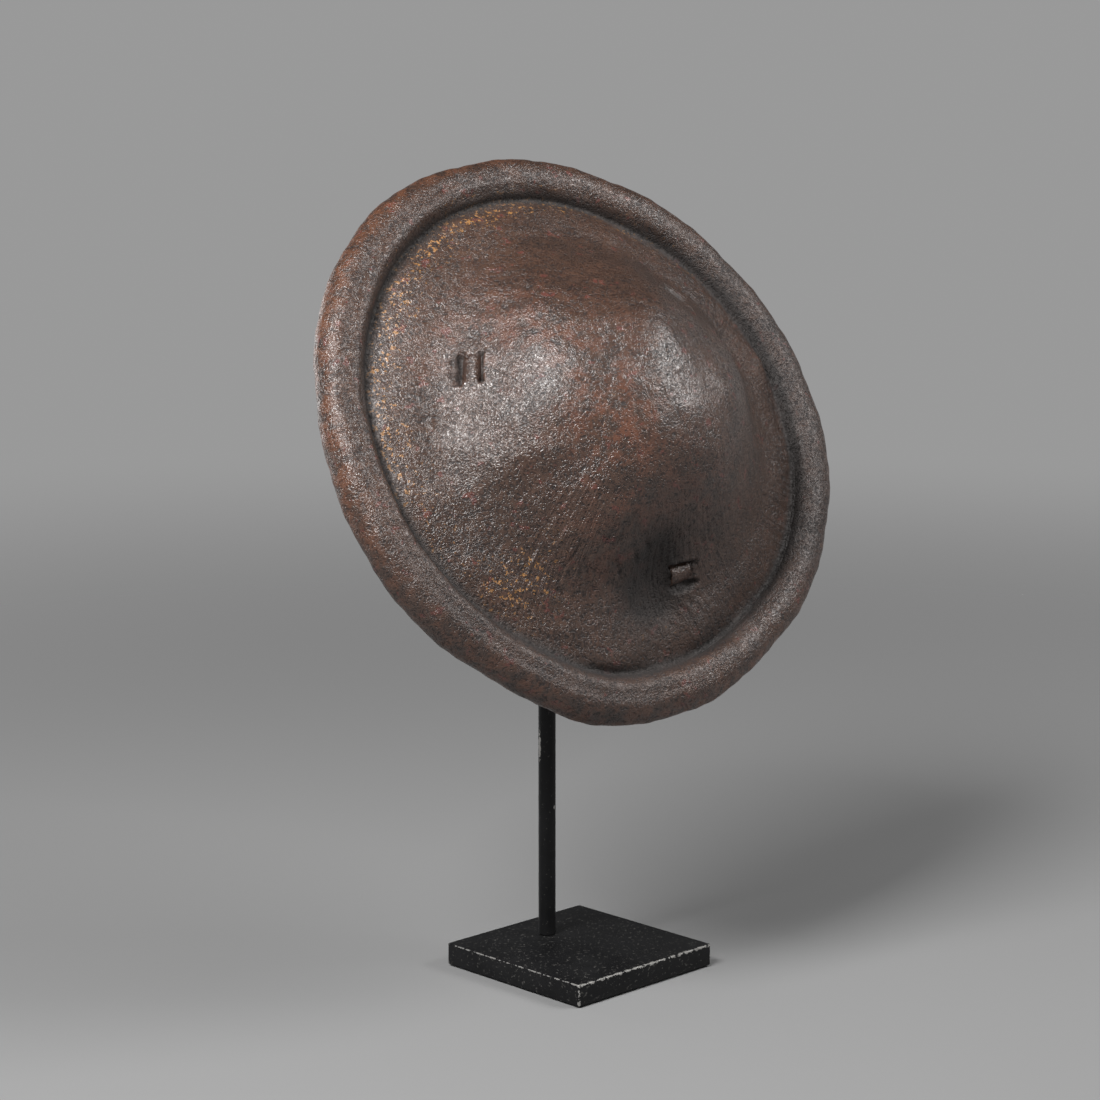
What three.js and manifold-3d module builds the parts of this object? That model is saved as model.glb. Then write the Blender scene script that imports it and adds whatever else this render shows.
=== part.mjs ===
// A round hide shield with a central boss and a rolled rim, carried by a mount on a black steel stand.
// Units are millimetres and +Z is up. The stand's front faces -Y.
// The origin is the middle of the underside of the felt that the stand rests on.
//
// The shield's own frame has its origin at the centre of the rim's middle plane: X to the right
// as seen from the front, Y up along the shield's face and Z out of its front, the depth.

import * as THREE from 'three';
import { mergeVertices } from 'three/addons/utils/BufferGeometryUtils.js';
import Module from 'manifold-3d';

const wasm = await Module();
wasm.setup();

// Where the shield sits: its centre above the plate, in front of the post and above the post's end,
// its lean and its turn.
const shieldHeight = 360;
const shieldReach = 40;
const shieldAbovePostHeight = 25;
const shieldLeanDegrees = 27.4;
const shieldTurnDegrees = 8.6;

// Hide shell: rolled rim, groove, dome, the broad boss on it and the dimples that the straps pull into it.
const rimRadius = 200;
const rimTubeRadius = 16.5;
const grooveInset = 32;
const domeHeight = 60;
const domePower = 1.7;
const bossRadius = 137;
const bossHeight = 43;
const bossPower = 3;
const dimpleDepth = 5;
const dimpleRadius = 34;
const hideThickness = 7;
const bossSteps = 12;
const domeSteps = 3;
const shellSides = 72;
const rimLipDegrees = -145;
const rimLipTaperDegrees = 9;
const rimInnerEndDegrees = 150;
const rimOuterSteps = 13;
const rimInnerSteps = 8;
const turnBackShare = 0.9;

// The rim isn't quite round. Each swell or flat has its turn round the face in degrees,
// its spread in degrees and its reach as a share of the rim's radius.
const rimSwellShares = [
  { turn: 5, spread: 22, reachShare: 0.012 },
  { turn: 62, spread: 20, reachShare: -0.016 },
  { turn: 125, spread: 28, reachShare: 0.009 },
  { turn: 184, spread: 14, reachShare: -0.009 },
  { turn: 256, spread: 13, reachShare: 0.026 },
  { turn: 299, spread: 18, reachShare: -0.02 },
];
const swellStartInset = 62;

// Straps: each goes up through its inner slit, over the bridge and back through its outer slit.
const strapWidth = 20;
const strapThickness = 2.5;
const slitPitch = 16;
const slitEndClearance = 0.6;
const slitSideClearance = 0.5;
const rightSlitDegrees = 45.7;
const leftSlitDegrees = 160;
const lowerSlitDegrees = 282.1;
const rightSlitRadius = 105.3;
const leftSlitRadius = 110.8;
const lowerSlitRadius = 120;
const bridgeGap = 0.7;
const tailLength = 26;
const hubDepth = 12;
const hubTabLength = 9;
const hubRiseRadius = 18;

// Knot, grip and lashings that hold the straps.
const knotShankDiameter = 5;
const knotHeadDiameter = 17;
const knotHeadThickness = 3.5;
const knotHeadRoundRadius = 1.2;
const gripStartDistance = 6;
const gripLength = 58;
const gripWidth = 27;
const gripThickness = 16;
const gripCornerRadius = 6;
const lashingLength = 12;
const lashingWall = 2.2;
const lashingCornerRadius = 1.5;
const lashingBendGap = 6;

// Display stand.
const plateWidth = 130;
const plateThickness = 15;
const plateBevelWidth = 0.8;
const plateCornerRadius = 1.2;
const feltThickness = 1.2;
const feltInset = 3;
const postDiameter = 12;
const postSetbackDistance = 32;
const postChamferWidth = 0.6;
const screwDiameter = 6;
const screwHeadDiameter = 12;
const screwHeadHeight = 3.3;
const screwHeadRecess = 0.5;
const screwInPostLength = 22;
const screwBoreSpareLength = 3;
const screwSocketWidth = 4;
const screwSocketDepth = 2.2;

// Mount between the post and the shield.
const stemDiameter = 8;
const socketDepth = 40;
const stemShoulderDiameter = 12;
const stemShoulderHeight = 5;
const collarDiameter = 20;
const collarHeight = 14;
const lockScrewDiameter = 4;
const lockKnobDiameter = 11;
const lockKnobLength = 8;
const lockKnobGap = 3;
const spineWidth = 18;
const spineThickness = 5;
const spineFrontDepth = -24;
const spineTopHeight = 42;
const spineBottomHeight = -92;
const spineCornerRadius = 4;
const crossBarWidth = 13;
const crossBarThickness = 4;
const crossBarEndLength = 9;
const crossBarCornerRadius = 5;
const prongDiameter = 6;
const prongOverhangLength = 14;
const hookReach = 30;
const sleeveWall = 1;
const armDiameter = 6;
const armSpreadDegrees = 30;
const armContactRadius = 96;
const padDiameter = 12;
const padCoverLength = 12;

// Fits.
const seatGap = 0.3;
const slideGap = 0.2;
const screwGap = 0.3;
const cutOverrunLength = 4;

// Facets.
const rodSides = 32;
const smallRodSides = 24;
const cornerSteps = 4;
const bevelSteps = 2;
const cupSteps = 5;
const hexSides = 6;
const weldTolerance = 1e-4;

// Worked out from the sizes above.
const radians = Math.PI / 180;
const fullTurnDegrees = 360;
const postHeight = shieldHeight - shieldAbovePostHeight;
const rimCentreRadius = rimRadius - rimTubeRadius;
const grooveRadius = rimRadius - grooveInset;
const swellStartRadius = rimRadius - swellStartInset;
const rimHollowRadius = rimTubeRadius - hideThickness;
const grooveFloor = Math.sqrt(rimTubeRadius ** 2 - (rimCentreRadius - grooveRadius) ** 2);
const plateTop = feltThickness + plateThickness;
const postRadius = postDiameter / 2;
const stemRadius = stemDiameter / 2;
const socketRadius = stemRadius + slideGap;
const prongRadius = prongDiameter / 2;
const armRadius = armDiameter / 2;
const padRadius = padDiameter / 2;
const sleeveBoreRadius = prongRadius + slideGap;
const sleeveRadius = sleeveBoreRadius + sleeveWall;
const strapStep = strapThickness + seatGap;
const spineBackDepth = spineFrontDepth - spineThickness;
const crossBarDepth = spineFrontDepth + seatGap;
const slitLength = strapWidth + 2 * slitEndClearance;
const slitWidth = strapThickness + 2 * slitSideClearance;

const attachments = {
  right: { degrees: rightSlitDegrees, radius: rightSlitRadius, layer: 0 },
  left: { degrees: leftSlitDegrees, radius: leftSlitRadius, layer: 1 },
  lower: { degrees: lowerSlitDegrees, radius: lowerSlitRadius, layer: 2 },
};

const finishes = {
  hide: { color: 0x2e211c, roughness: 0.5, metalness: 0 },
  strap: { color: 0x3a2a20, roughness: 0.65, metalness: 0 },
  thong: { color: 0x4a3626, roughness: 0.7, metalness: 0 },
  blackSteel: { color: 0x151515, roughness: 0.45, metalness: 0.3 },
  zincSteel: { color: 0x8c8c8c, roughness: 0.35, metalness: 1 },
  felt: { color: 0x1b1b1d, roughness: 0.95, metalness: 0 },
  rubber: { color: 0x222222, roughness: 0.8, metalness: 0 },
};

// Mesh helpers.

// Welds shared vertices and drops the flat triangles that a lathe leaves on its axis.
function weld(geometry) {
  const bare = geometry.clone();
  bare.deleteAttribute('normal');
  bare.deleteAttribute('uv');
  const merged = mergeVertices(bare, weldTolerance);
  const index = merged.getIndex().array;
  const kept = [];
  for (let i = 0; i < index.length; i += 3) {
    const [a, b, c] = [index[i], index[i + 1], index[i + 2]];
    if (a !== b && b !== c && c !== a) kept.push(a, b, c);
  }
  merged.setIndex(kept);
  return outward(merged);
}

// Turns a closed mesh the right way out when its signed volume is negative.
function outward(geometry) {
  const position = geometry.getAttribute('position');
  const index = geometry.getIndex().array;
  const a = new THREE.Vector3();
  const b = new THREE.Vector3();
  const c = new THREE.Vector3();
  let volume = 0;
  for (let i = 0; i < index.length; i += 3) {
    a.fromBufferAttribute(position, index[i]);
    b.fromBufferAttribute(position, index[i + 1]);
    c.fromBufferAttribute(position, index[i + 2]);
    volume += a.dot(b.cross(c));
  }
  if (volume >= 0) return geometry;
  const flipped = [];
  for (let i = 0; i < index.length; i += 3) flipped.push(index[i], index[i + 2], index[i + 1]);
  geometry.setIndex(flipped);
  return geometry;
}

function toSolid(geometry) {
  const welded = weld(geometry);
  return new wasm.Manifold(new wasm.Mesh({
    numProp: 3,
    vertProperties: new Float32Array(welded.getAttribute('position').array),
    triVerts: new Uint32Array(welded.getIndex().array),
  }));
}

function toGeometry(solid) {
  const mesh = solid.getMesh();
  const geometry = new THREE.BufferGeometry();
  geometry.setAttribute('position', new THREE.BufferAttribute(new Float32Array(mesh.vertProperties), 3));
  geometry.setIndex(new THREE.BufferAttribute(new Uint32Array(mesh.triVerts), 1));
  return geometry;
}

function cut(geometry, cutters) {
  let solid = toSolid(geometry);
  for (const cutter of cutters) solid = solid.subtract(toSolid(cutter));
  return toGeometry(solid);
}

function part(name, geometry, finish) {
  const mesh = new THREE.Mesh(weld(geometry), new THREE.MeshStandardMaterial(finish));
  mesh.name = name;
  return mesh;
}

// A solid of revolution about Z from [radius, height] pairs that start and end on the axis or close up.
function turned(profile, sides) {
  const points = profile.map(([radius, height]) => new THREE.Vector2(radius, height));
  return new THREE.LatheGeometry(points, sides).rotateX(Math.PI / 2);
}

function rod(radius, bottom, top, sides) {
  return turned([[0, bottom], [radius, bottom], [radius, top], [0, top]], sides);
}

function roundedRectangle(width, height, corner, makePath = () => new THREE.Shape()) {
  const x = width / 2 - corner;
  const y = height / 2 - corner;
  const path = makePath();
  path.moveTo(x + corner, y);
  path.absarc(x, y, corner, 0, Math.PI / 2);
  path.absarc(-x, y, corner, Math.PI / 2, Math.PI);
  path.absarc(-x, -y, corner, Math.PI, Math.PI * 3 / 2);
  path.absarc(x, -y, corner, Math.PI * 3 / 2, Math.PI * 2);
  path.closePath();
  return path;
}

function rectangleHole(width, height) {
  return new THREE.Path([
    new THREE.Vector2(-width / 2, -height / 2),
    new THREE.Vector2(-width / 2, height / 2),
    new THREE.Vector2(width / 2, height / 2),
    new THREE.Vector2(width / 2, -height / 2),
    new THREE.Vector2(-width / 2, -height / 2),
  ]);
}

function circleHole(x, y, radius) {
  const path = new THREE.Path();
  path.absarc(x, y, radius, 0, Math.PI * 2, true);
  return path;
}

function extruded(shape, depth) {
  return new THREE.ExtrudeGeometry(shape, { depth, bevelEnabled: false, curveSegments: cornerSteps });
}

// Shell.

// Depth of the hide's front at a distance from the shield's axis: a dome with the boss on it.
function frontDepth(radius) {
  const dome = domeHeight * (1 - (radius / grooveRadius) ** domePower);
  const inside = Math.max(0, 1 - (radius / bossRadius) ** bossPower);
  return grooveFloor + dome + bossHeight * inside ** 2;
}

// Angle that the hide's front falls away at, in radians.
function frontFall(radius) {
  const dome = domeHeight * domePower / grooveRadius * (radius / grooveRadius) ** (domePower - 1);
  const inside = Math.max(0, 1 - (radius / bossRadius) ** bossPower);
  const boss = 2 * bossHeight * bossPower / bossRadius * inside * (radius / bossRadius) ** (bossPower - 1);
  return Math.atan(dome + boss);
}

// How deep the straps' dimples draw the hide in at a place on the shield's face.
function dimple(x, y) {
  let drawn = 0;
  for (const { degrees, radius } of Object.values(attachments)) {
    const angle = degrees * radians;
    const away = Math.hypot(x - radius * Math.cos(angle), y - radius * Math.sin(angle));
    drawn += dimpleDepth * Math.exp(-((away / dimpleRadius) ** 2));
  }
  return drawn;
}

// A point of the hide's section at a height over its front, negative below it.
function sectionPoint(radius, height) {
  const fall = frontFall(radius);
  return [radius + height * Math.sin(fall), frontDepth(radius) + height * Math.cos(fall)];
}

function rimPoint(tubeRadius, degrees) {
  const angle = degrees * radians;
  return [rimCentreRadius + tubeRadius * Math.cos(angle), tubeRadius * Math.sin(angle)];
}

function rimArc(tubeRadius, startDegrees, endDegrees, steps) {
  const points = [];
  for (let i = 0; i <= steps; i += 1) {
    points.push(rimPoint(tubeRadius, startDegrees + (endDegrees - startDegrees) * i / steps));
  }
  return points;
}

// How far a swell or flat moves the rim out at a turn round the face, as a share of its radius.
function swellShare(degrees) {
  let share = 0;
  for (const { turn, spread, reachShare } of rimSwellShares) {
    const past = THREE.MathUtils.euclideanModulo(degrees - turn, fullTurnDegrees);
    const away = Math.min(past, fullTurnDegrees - past);
    share += reachShare * Math.exp(-((away / spread) ** 2));
  }
  return share;
}

function domeRadii() {
  const radii = [];
  for (let i = 1; i <= bossSteps; i += 1) radii.push(bossRadius * i / bossSteps);
  for (let i = 1; i < domeSteps; i += 1) {
    radii.push(bossRadius + (grooveRadius - bossRadius) * i / domeSteps);
  }
  return radii;
}

// Section of the hide from the axis out over the front, round the rolled rim and back behind.
function shellProfile() {
  const radii = domeRadii();
  const front = [[0, frontDepth(0)], ...radii.map((radius) => sectionPoint(radius, 0))];
  const grooveDegrees = Math.atan2(grooveFloor, grooveRadius - rimCentreRadius) / radians;
  const outer = rimArc(rimTubeRadius, grooveDegrees, rimLipDegrees, rimOuterSteps);
  const lip = rimPoint((rimTubeRadius + rimHollowRadius) / 2, rimLipDegrees - rimLipTaperDegrees);
  const inner = rimArc(rimHollowRadius, rimLipDegrees, rimInnerEndDegrees, rimInnerSteps);
  const turnBack = [grooveRadius + hideThickness / 2, grooveFloor - hideThickness * turnBackShare];
  const back = [sectionPoint(grooveRadius, -hideThickness)];
  for (const radius of [...radii].reverse()) back.push(sectionPoint(radius, -hideThickness));
  return [...front, ...outer, lip, ...inner, turnBack, ...back, [0, frontDepth(0) - hideThickness]];
}

function shellBlank() {
  const geometry = turned(shellProfile(), shellSides);
  const position = geometry.getAttribute('position');
  for (let i = 0; i < position.count; i += 1) {
    const x = position.getX(i);
    const y = position.getY(i);
    const outwardShare = THREE.MathUtils.smoothstep(Math.hypot(x, y), swellStartRadius, grooveRadius);
    const factor = 1 + outwardShare * swellShare(Math.atan2(y, x) / radians);
    position.setXYZ(i, x * factor, y * factor, position.getZ(i) - dimple(x, y));
  }
  return geometry;
}

// Axes of a strap's section plane: out along the face, the shield's depth and across the strap.
function strapAxes(degrees) {
  const angle = degrees * radians;
  const out = new THREE.Vector3(Math.cos(angle), Math.sin(angle), 0);
  const depth = new THREE.Vector3(0, 0, 1);
  return { out, depth, across: out.clone().cross(depth) };
}

// A point of a strap's section plane, along the hide from the middle of the slit pair and over its front.
function bridgePoint(radius, along, height) {
  const fall = frontFall(radius);
  return new THREE.Vector2(
    radius + along * Math.cos(fall) + height * Math.sin(fall),
    frontDepth(radius) - dimpleDepth - along * Math.sin(fall) + height * Math.cos(fall),
  );
}

function slitCutter({ degrees, radius }, along) {
  const { out, depth, across } = strapAxes(degrees);
  const centre = bridgePoint(radius, along, -hideThickness / 2);
  const fall = frontFall(radius);
  const box = new THREE.BoxGeometry(slitWidth, hideThickness + 2 * cutOverrunLength, slitLength);
  const alongAxis = out.clone().multiplyScalar(Math.cos(fall)).addScaledVector(depth, -Math.sin(fall));
  const throughAxis = out.clone().multiplyScalar(Math.sin(fall)).addScaledVector(depth, Math.cos(fall));
  const frame = new THREE.Matrix4().makeBasis(alongAxis, throughAxis, across);
  frame.setPosition(out.clone().multiplyScalar(centre.x).addScaledVector(depth, centre.y));
  return box.applyMatrix4(frame);
}

function hideShell() {
  const cutters = [];
  for (const attachment of Object.values(attachments)) {
    cutters.push(slitCutter(attachment, -slitPitch / 2), slitCutter(attachment, slitPitch / 2));
  }
  return part('hide_shell', cut(shellBlank(), cutters), finishes.hide);
}

// Straps.

// Section of a strap: hub and bend where its leg starts and ends, and the leg's direction between them.
function strapLeg({ radius, layer }) {
  const hub = new THREE.Vector2(hubRiseRadius, hubDepth + layer * strapStep);
  const bend = bridgePoint(radius, -slitPitch / 2, -hideThickness - strapThickness);
  const direction = bend.clone().sub(hub).normalize();
  const behind = new THREE.Vector2(direction.y, -direction.x);
  return { hub, bend, direction, behind, length: bend.distanceTo(hub) };
}

function strapCentreLine(attachment) {
  const { hub, bend, direction, behind } = strapLeg(attachment);
  const { radius } = attachment;
  const over = bridgeGap + strapThickness / 2;
  const tailBend = bend.clone().addScaledVector(behind, strapStep);
  return [
    new THREE.Vector2(-hubTabLength, hub.y),
    hub,
    bend,
    bridgePoint(radius, -slitPitch / 2, over),
    bridgePoint(radius, slitPitch / 2, over),
    bridgePoint(radius, slitPitch / 2, -hideThickness - strapThickness),
    tailBend,
    tailBend.clone().addScaledVector(direction, -tailLength),
  ];
}

// Outline of a band of even thickness along a bent line, with mitred bends.
function bandOutline(line, thickness) {
  const near = [];
  const far = [];
  line.forEach((point, i) => {
    const before = i > 0 ? point.clone().sub(line[i - 1]).normalize() : null;
    const after = i < line.length - 1 ? line[i + 1].clone().sub(point).normalize() : null;
    const heading = (before ?? after).clone().add(after ?? before).normalize();
    const side = new THREE.Vector2(-heading.y, heading.x);
    const halfTurn = before && after ? Math.acos(Math.min(1, before.dot(after))) / 2 : 0;
    const reach = thickness / 2 / Math.cos(halfTurn);
    near.push(point.clone().addScaledVector(side, reach));
    far.unshift(point.clone().addScaledVector(side, -reach));
  });
  return [...near, ...far];
}

function strap(name, attachment) {
  const shape = new THREE.Shape(bandOutline(strapCentreLine(attachment), strapThickness));
  const { out, depth, across } = strapAxes(attachment.degrees);
  const band = extruded(shape, strapWidth).translate(0, 0, -strapWidth / 2);
  band.applyMatrix4(new THREE.Matrix4().makeBasis(out, depth, across));
  const hubTop = hubDepth + Object.keys(attachments).length * strapStep;
  const holeRadius = knotShankDiameter / 2 + seatGap;
  const hole = rod(holeRadius, hubDepth - cutOverrunLength, hubTop + cutOverrunLength, smallRodSides);
  return part(name, cut(band, [hole]), finishes.strap);
}

// Places a section, drawn across and over a strap, along the strap's leg from a distance past the hub.
function alongLeg(geometry, attachment, start, behindShift) {
  const { hub, direction, behind } = strapLeg(attachment);
  const { out, depth } = strapAxes(attachment.degrees);
  const inShield = (flat) => out.clone().multiplyScalar(flat.x).addScaledVector(depth, flat.y);
  const legAxis = inShield(direction);
  const overAxis = inShield(behind).negate();
  const acrossAxis = overAxis.clone().cross(legAxis);
  const frame = new THREE.Matrix4().makeBasis(acrossAxis, overAxis, legAxis);
  const place = hub.clone().addScaledVector(direction, start).addScaledVector(behind, behindShift);
  frame.setPosition(inShield(place));
  return geometry.applyMatrix4(frame);
}

function gripSleeve() {
  const shape = roundedRectangle(gripWidth, gripThickness, gripCornerRadius);
  shape.holes.push(rectangleHole(strapWidth + 2 * seatGap, strapThickness + 2 * seatGap));
  const sleeve = alongLeg(extruded(shape, gripLength), attachments.lower, gripStartDistance, 0);
  return part('grip_sleeve', sleeve, finishes.thong);
}

function lashing(name, attachment) {
  const boundThickness = strapThickness + strapStep + 2 * seatGap;
  const boundWidth = strapWidth + 2 * seatGap;
  const shape = roundedRectangle(
    boundWidth + 2 * lashingWall,
    boundThickness + 2 * lashingWall,
    lashingCornerRadius,
  );
  shape.holes.push(rectangleHole(boundWidth, boundThickness));
  const { length } = strapLeg(attachment);
  const start = length - lashingBendGap - lashingLength;
  const band = alongLeg(extruded(shape, lashingLength), attachment, start, strapStep / 2);
  return part(name, band, finishes.thong);
}

function hubKnot() {
  const layers = Object.keys(attachments).length;
  const low = hubDepth - strapThickness / 2 - seatGap;
  const high = hubDepth + (layers - 1) * strapStep + strapThickness / 2 + seatGap;
  const shank = knotShankDiameter / 2;
  const head = knotHeadDiameter / 2;
  return part('hub_knot', turned([
    [0, low - knotHeadThickness],
    [head - knotHeadRoundRadius, low - knotHeadThickness],
    [head, low - knotHeadThickness + knotHeadRoundRadius],
    [head, low],
    [shank, low],
    [shank, high],
    [head, high],
    [head, high + knotHeadThickness - knotHeadRoundRadius],
    [head - knotHeadRoundRadius, high + knotHeadThickness],
    [0, high + knotHeadThickness],
  ], smallRodSides), finishes.thong);
}

// Stand.

function feltUnderlay() {
  const side = plateWidth - 2 * feltInset;
  const sheet = extruded(roundedRectangle(side, side, plateCornerRadius), feltThickness);
  return part('felt_underlay', sheet, finishes.felt);
}

function basePlate() {
  const shape = roundedRectangle(
    plateWidth - 2 * plateBevelWidth,
    plateWidth - 2 * plateBevelWidth,
    plateCornerRadius,
  );
  const plate = new THREE.ExtrudeGeometry(shape, {
    depth: plateThickness - 2 * plateBevelWidth,
    bevelSize: plateBevelWidth,
    bevelThickness: plateBevelWidth,
    bevelSegments: bevelSteps,
    curveSegments: cornerSteps,
  }).translate(0, 0, feltThickness + plateBevelWidth);
  const bore = screwDiameter / 2 + screwGap;
  const mouth = screwHeadDiameter / 2 + screwGap;
  const coneBottom = feltThickness + screwHeadRecess;
  const screwHole = turned([
    [0, feltThickness - cutOverrunLength],
    [mouth, feltThickness - cutOverrunLength],
    [mouth, coneBottom],
    [bore, coneBottom + screwHeadHeight],
    [bore, plateTop + cutOverrunLength],
    [0, plateTop + cutOverrunLength],
  ], rodSides).translate(0, postSetbackDistance, 0);
  return part('base_plate', cut(plate, [screwHole]), finishes.blackSteel);
}

function baseScrew() {
  const bottom = feltThickness + screwHeadRecess;
  const top = plateTop + screwInPostLength;
  const radius = screwDiameter / 2;
  const screw = turned([
    [0, bottom],
    [screwHeadDiameter / 2, bottom],
    [radius, bottom + screwHeadHeight],
    [radius, top],
    [0, top],
  ], rodSides);
  const socket = rod(screwSocketWidth / 2, bottom - cutOverrunLength, bottom + screwSocketDepth, hexSides);
  return part('base_screw', cut(screw, [socket]).translate(0, postSetbackDistance, 0), finishes.zincSteel);
}

// Radial hole for the locking screw, toward the stand's back, in the post's frame.
function lockHole() {
  const radius = lockScrewDiameter / 2 + slideGap;
  const hole = rod(radius, 0, collarDiameter, smallRodSides).rotateX(-Math.PI / 2);
  return hole.translate(0, 0, postHeight - collarHeight / 2);
}

function post() {
  const boreRadius = screwDiameter / 2 + screwGap;
  const boreDepth = screwInPostLength + screwBoreSpareLength;
  const blank = turned([
    [0, boreDepth],
    [boreRadius, boreDepth],
    [boreRadius, 0],
    [postRadius - postChamferWidth, 0],
    [postRadius, postChamferWidth],
    [postRadius, postHeight - postChamferWidth],
    [postRadius - postChamferWidth, postHeight],
    [socketRadius, postHeight],
    [socketRadius, postHeight - socketDepth],
    [0, postHeight - socketDepth],
  ], rodSides);
  return part('post', cut(blank, [lockHole()]), finishes.blackSteel);
}

function postCollar() {
  const bore = postRadius + slideGap;
  const outside = collarDiameter / 2;
  const blank = turned([
    [bore, postHeight - collarHeight],
    [outside - postChamferWidth, postHeight - collarHeight],
    [outside, postHeight - collarHeight + postChamferWidth],
    [outside, postHeight - postChamferWidth],
    [outside - postChamferWidth, postHeight],
    [bore, postHeight],
    [bore, postHeight - collarHeight],
  ], rodSides);
  return part('post_collar', cut(blank, [lockHole()]), finishes.blackSteel);
}

function lockingScrew() {
  const shank = lockScrewDiameter / 2;
  const tip = stemRadius + seatGap;
  const knobStart = collarDiameter / 2 + lockKnobGap;
  const knob = lockKnobDiameter / 2;
  const screw = turned([
    [0, tip],
    [shank, tip],
    [shank, knobStart],
    [knob - postChamferWidth, knobStart],
    [knob, knobStart + postChamferWidth],
    [knob, knobStart + lockKnobLength - postChamferWidth],
    [knob - postChamferWidth, knobStart + lockKnobLength],
    [0, knobStart + lockKnobLength],
  ], smallRodSides).rotateX(-Math.PI / 2);
  return part('locking_screw', screw.translate(0, 0, postHeight - collarHeight / 2), finishes.blackSteel);
}

// Mount.

// Turns the shield's frame into the frame that stands on the post's axis.
function leanMatrix() {
  const lean = new THREE.Matrix4().makeRotationX(Math.PI / 2 - shieldLeanDegrees * radians);
  return lean.setPosition(0, -shieldReach, shieldHeight);
}

// Stem that plugs into the post. Its slanted top lies against the back of the spine bar.
function mountStem() {
  const bottom = postHeight - socketDepth + screwGap;
  const shoulder = postHeight + seatGap;
  const blank = turned([
    [0, bottom],
    [stemRadius, bottom],
    [stemRadius, shoulder],
    [stemShoulderDiameter / 2, shoulder],
    [stemShoulderDiameter / 2, shoulder + stemShoulderHeight],
    [stemRadius, shoulder + stemShoulderHeight],
    [stemRadius, shieldHeight + shieldReach],
    [0, shieldHeight + shieldReach],
  ], rodSides);
  const block = new THREE.BoxGeometry(rimRadius, rimRadius, rimRadius);
  block.translate(0, 0, spineBackDepth - seatGap + rimRadius / 2).applyMatrix4(leanMatrix());
  return part('mount_stem', cut(blank, [block]), finishes.blackSteel);
}

function spineBar() {
  const length = spineTopHeight - spineBottomHeight;
  const shape = roundedRectangle(spineWidth, length, spineCornerRadius);
  const bar = extruded(shape, spineThickness);
  bar.translate(0, (spineTopHeight + spineBottomHeight) / 2, spineBackDepth);
  return part('spine_bar', bar, finishes.blackSteel);
}

// Where a prong passes under a strap, on its lower side.
function prongPlace({ degrees }) {
  const { out, across } = strapAxes(degrees);
  const aside = strapWidth / 2 + sleeveRadius + seatGap;
  const lowerSide = across.y < 0 ? 1 : -1;
  return out.multiplyScalar(hookReach).addScaledVector(across, lowerSide * aside);
}

function prongTipDepth(attachment) {
  const { hub, direction } = strapLeg(attachment);
  const strapDepth = hub.y + (hookReach - hub.x) * direction.y / direction.x;
  return strapDepth + strapThickness / 2 + prongOverhangLength;
}

// The centre of a rounded pad that rests against the back of the dish.
function padPlace(degrees) {
  const angle = degrees * radians;
  const [radius, depth] = sectionPoint(armContactRadius, -hideThickness - seatGap - padRadius);
  return new THREE.Vector3(radius * Math.cos(angle), radius * Math.sin(angle), depth);
}

// A flat bar on the spine's front with a bore near each end, from one bore to the other.
function crossBar(name, first, second, boreRadius) {
  const span = Math.hypot(second.x - first.x, second.y - first.y);
  const shape = roundedRectangle(span + 2 * crossBarEndLength, crossBarWidth, crossBarCornerRadius);
  shape.holes.push(circleHole(-span / 2, 0, boreRadius), circleHole(span / 2, 0, boreRadius));
  const bar = new THREE.ExtrudeGeometry(shape, {
    depth: crossBarThickness,
    bevelEnabled: false,
    curveSegments: smallRodSides / 2,
  });
  bar.rotateZ(Math.atan2(second.y - first.y, second.x - first.x));
  bar.translate((first.x + second.x) / 2, (first.y + second.y) / 2, crossBarDepth);
  return part(name, bar, finishes.blackSteel);
}

function straightRod(name, radius, place, tip) {
  const bar = rod(radius, crossBarDepth, tip, smallRodSides).translate(place.x, place.y, 0);
  return part(name, bar, finishes.blackSteel);
}

// A soft cup with a round end, closed at the front and open behind.
function softCup(name, place, boreRadius, outsideRadius, back, front) {
  const floor = front - outsideRadius;
  const profile = [[0, floor], [boreRadius, floor], [boreRadius, back], [outsideRadius, back]];
  for (let i = 0; i < cupSteps; i += 1) {
    const angle = Math.PI / 2 * i / cupSteps;
    profile.push([outsideRadius * Math.cos(angle), floor + outsideRadius * Math.sin(angle)]);
  }
  profile.push([0, front]);
  return part(name, turned(profile, smallRodSides).translate(place.x, place.y, 0), finishes.rubber);
}

function hookParts() {
  const right = prongPlace(attachments.right);
  const left = prongPlace(attachments.left);
  const pieces = [crossBar('hook_bar', left, right, prongRadius + seatGap)];
  for (const [side, place] of Object.entries({ right, left })) {
    const tip = prongTipDepth(attachments[side]);
    const back = crossBarDepth + crossBarThickness + seatGap;
    const front = tip + slideGap + sleeveRadius;
    pieces.push(straightRod(`prong_${side}`, prongRadius, place, tip));
    pieces.push(softCup(`prong_sleeve_${side}`, place, sleeveBoreRadius, sleeveRadius, back, front));
  }
  return pieces;
}

function footParts() {
  const left = padPlace(lowerSlitDegrees - armSpreadDegrees);
  const right = padPlace(lowerSlitDegrees + armSpreadDegrees);
  const pieces = [crossBar('foot_bar', left, right, armRadius + seatGap)];
  for (const [side, place] of Object.entries({ left, right })) {
    const bore = armRadius + slideGap;
    const back = place.z - padCoverLength;
    const front = place.z + padRadius;
    pieces.push(straightRod(`arm_${side}`, armRadius, place, place.z - slideGap));
    pieces.push(softCup(`arm_pad_${side}`, place, bore, padRadius, back, front));
  }
  return pieces;
}

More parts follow.
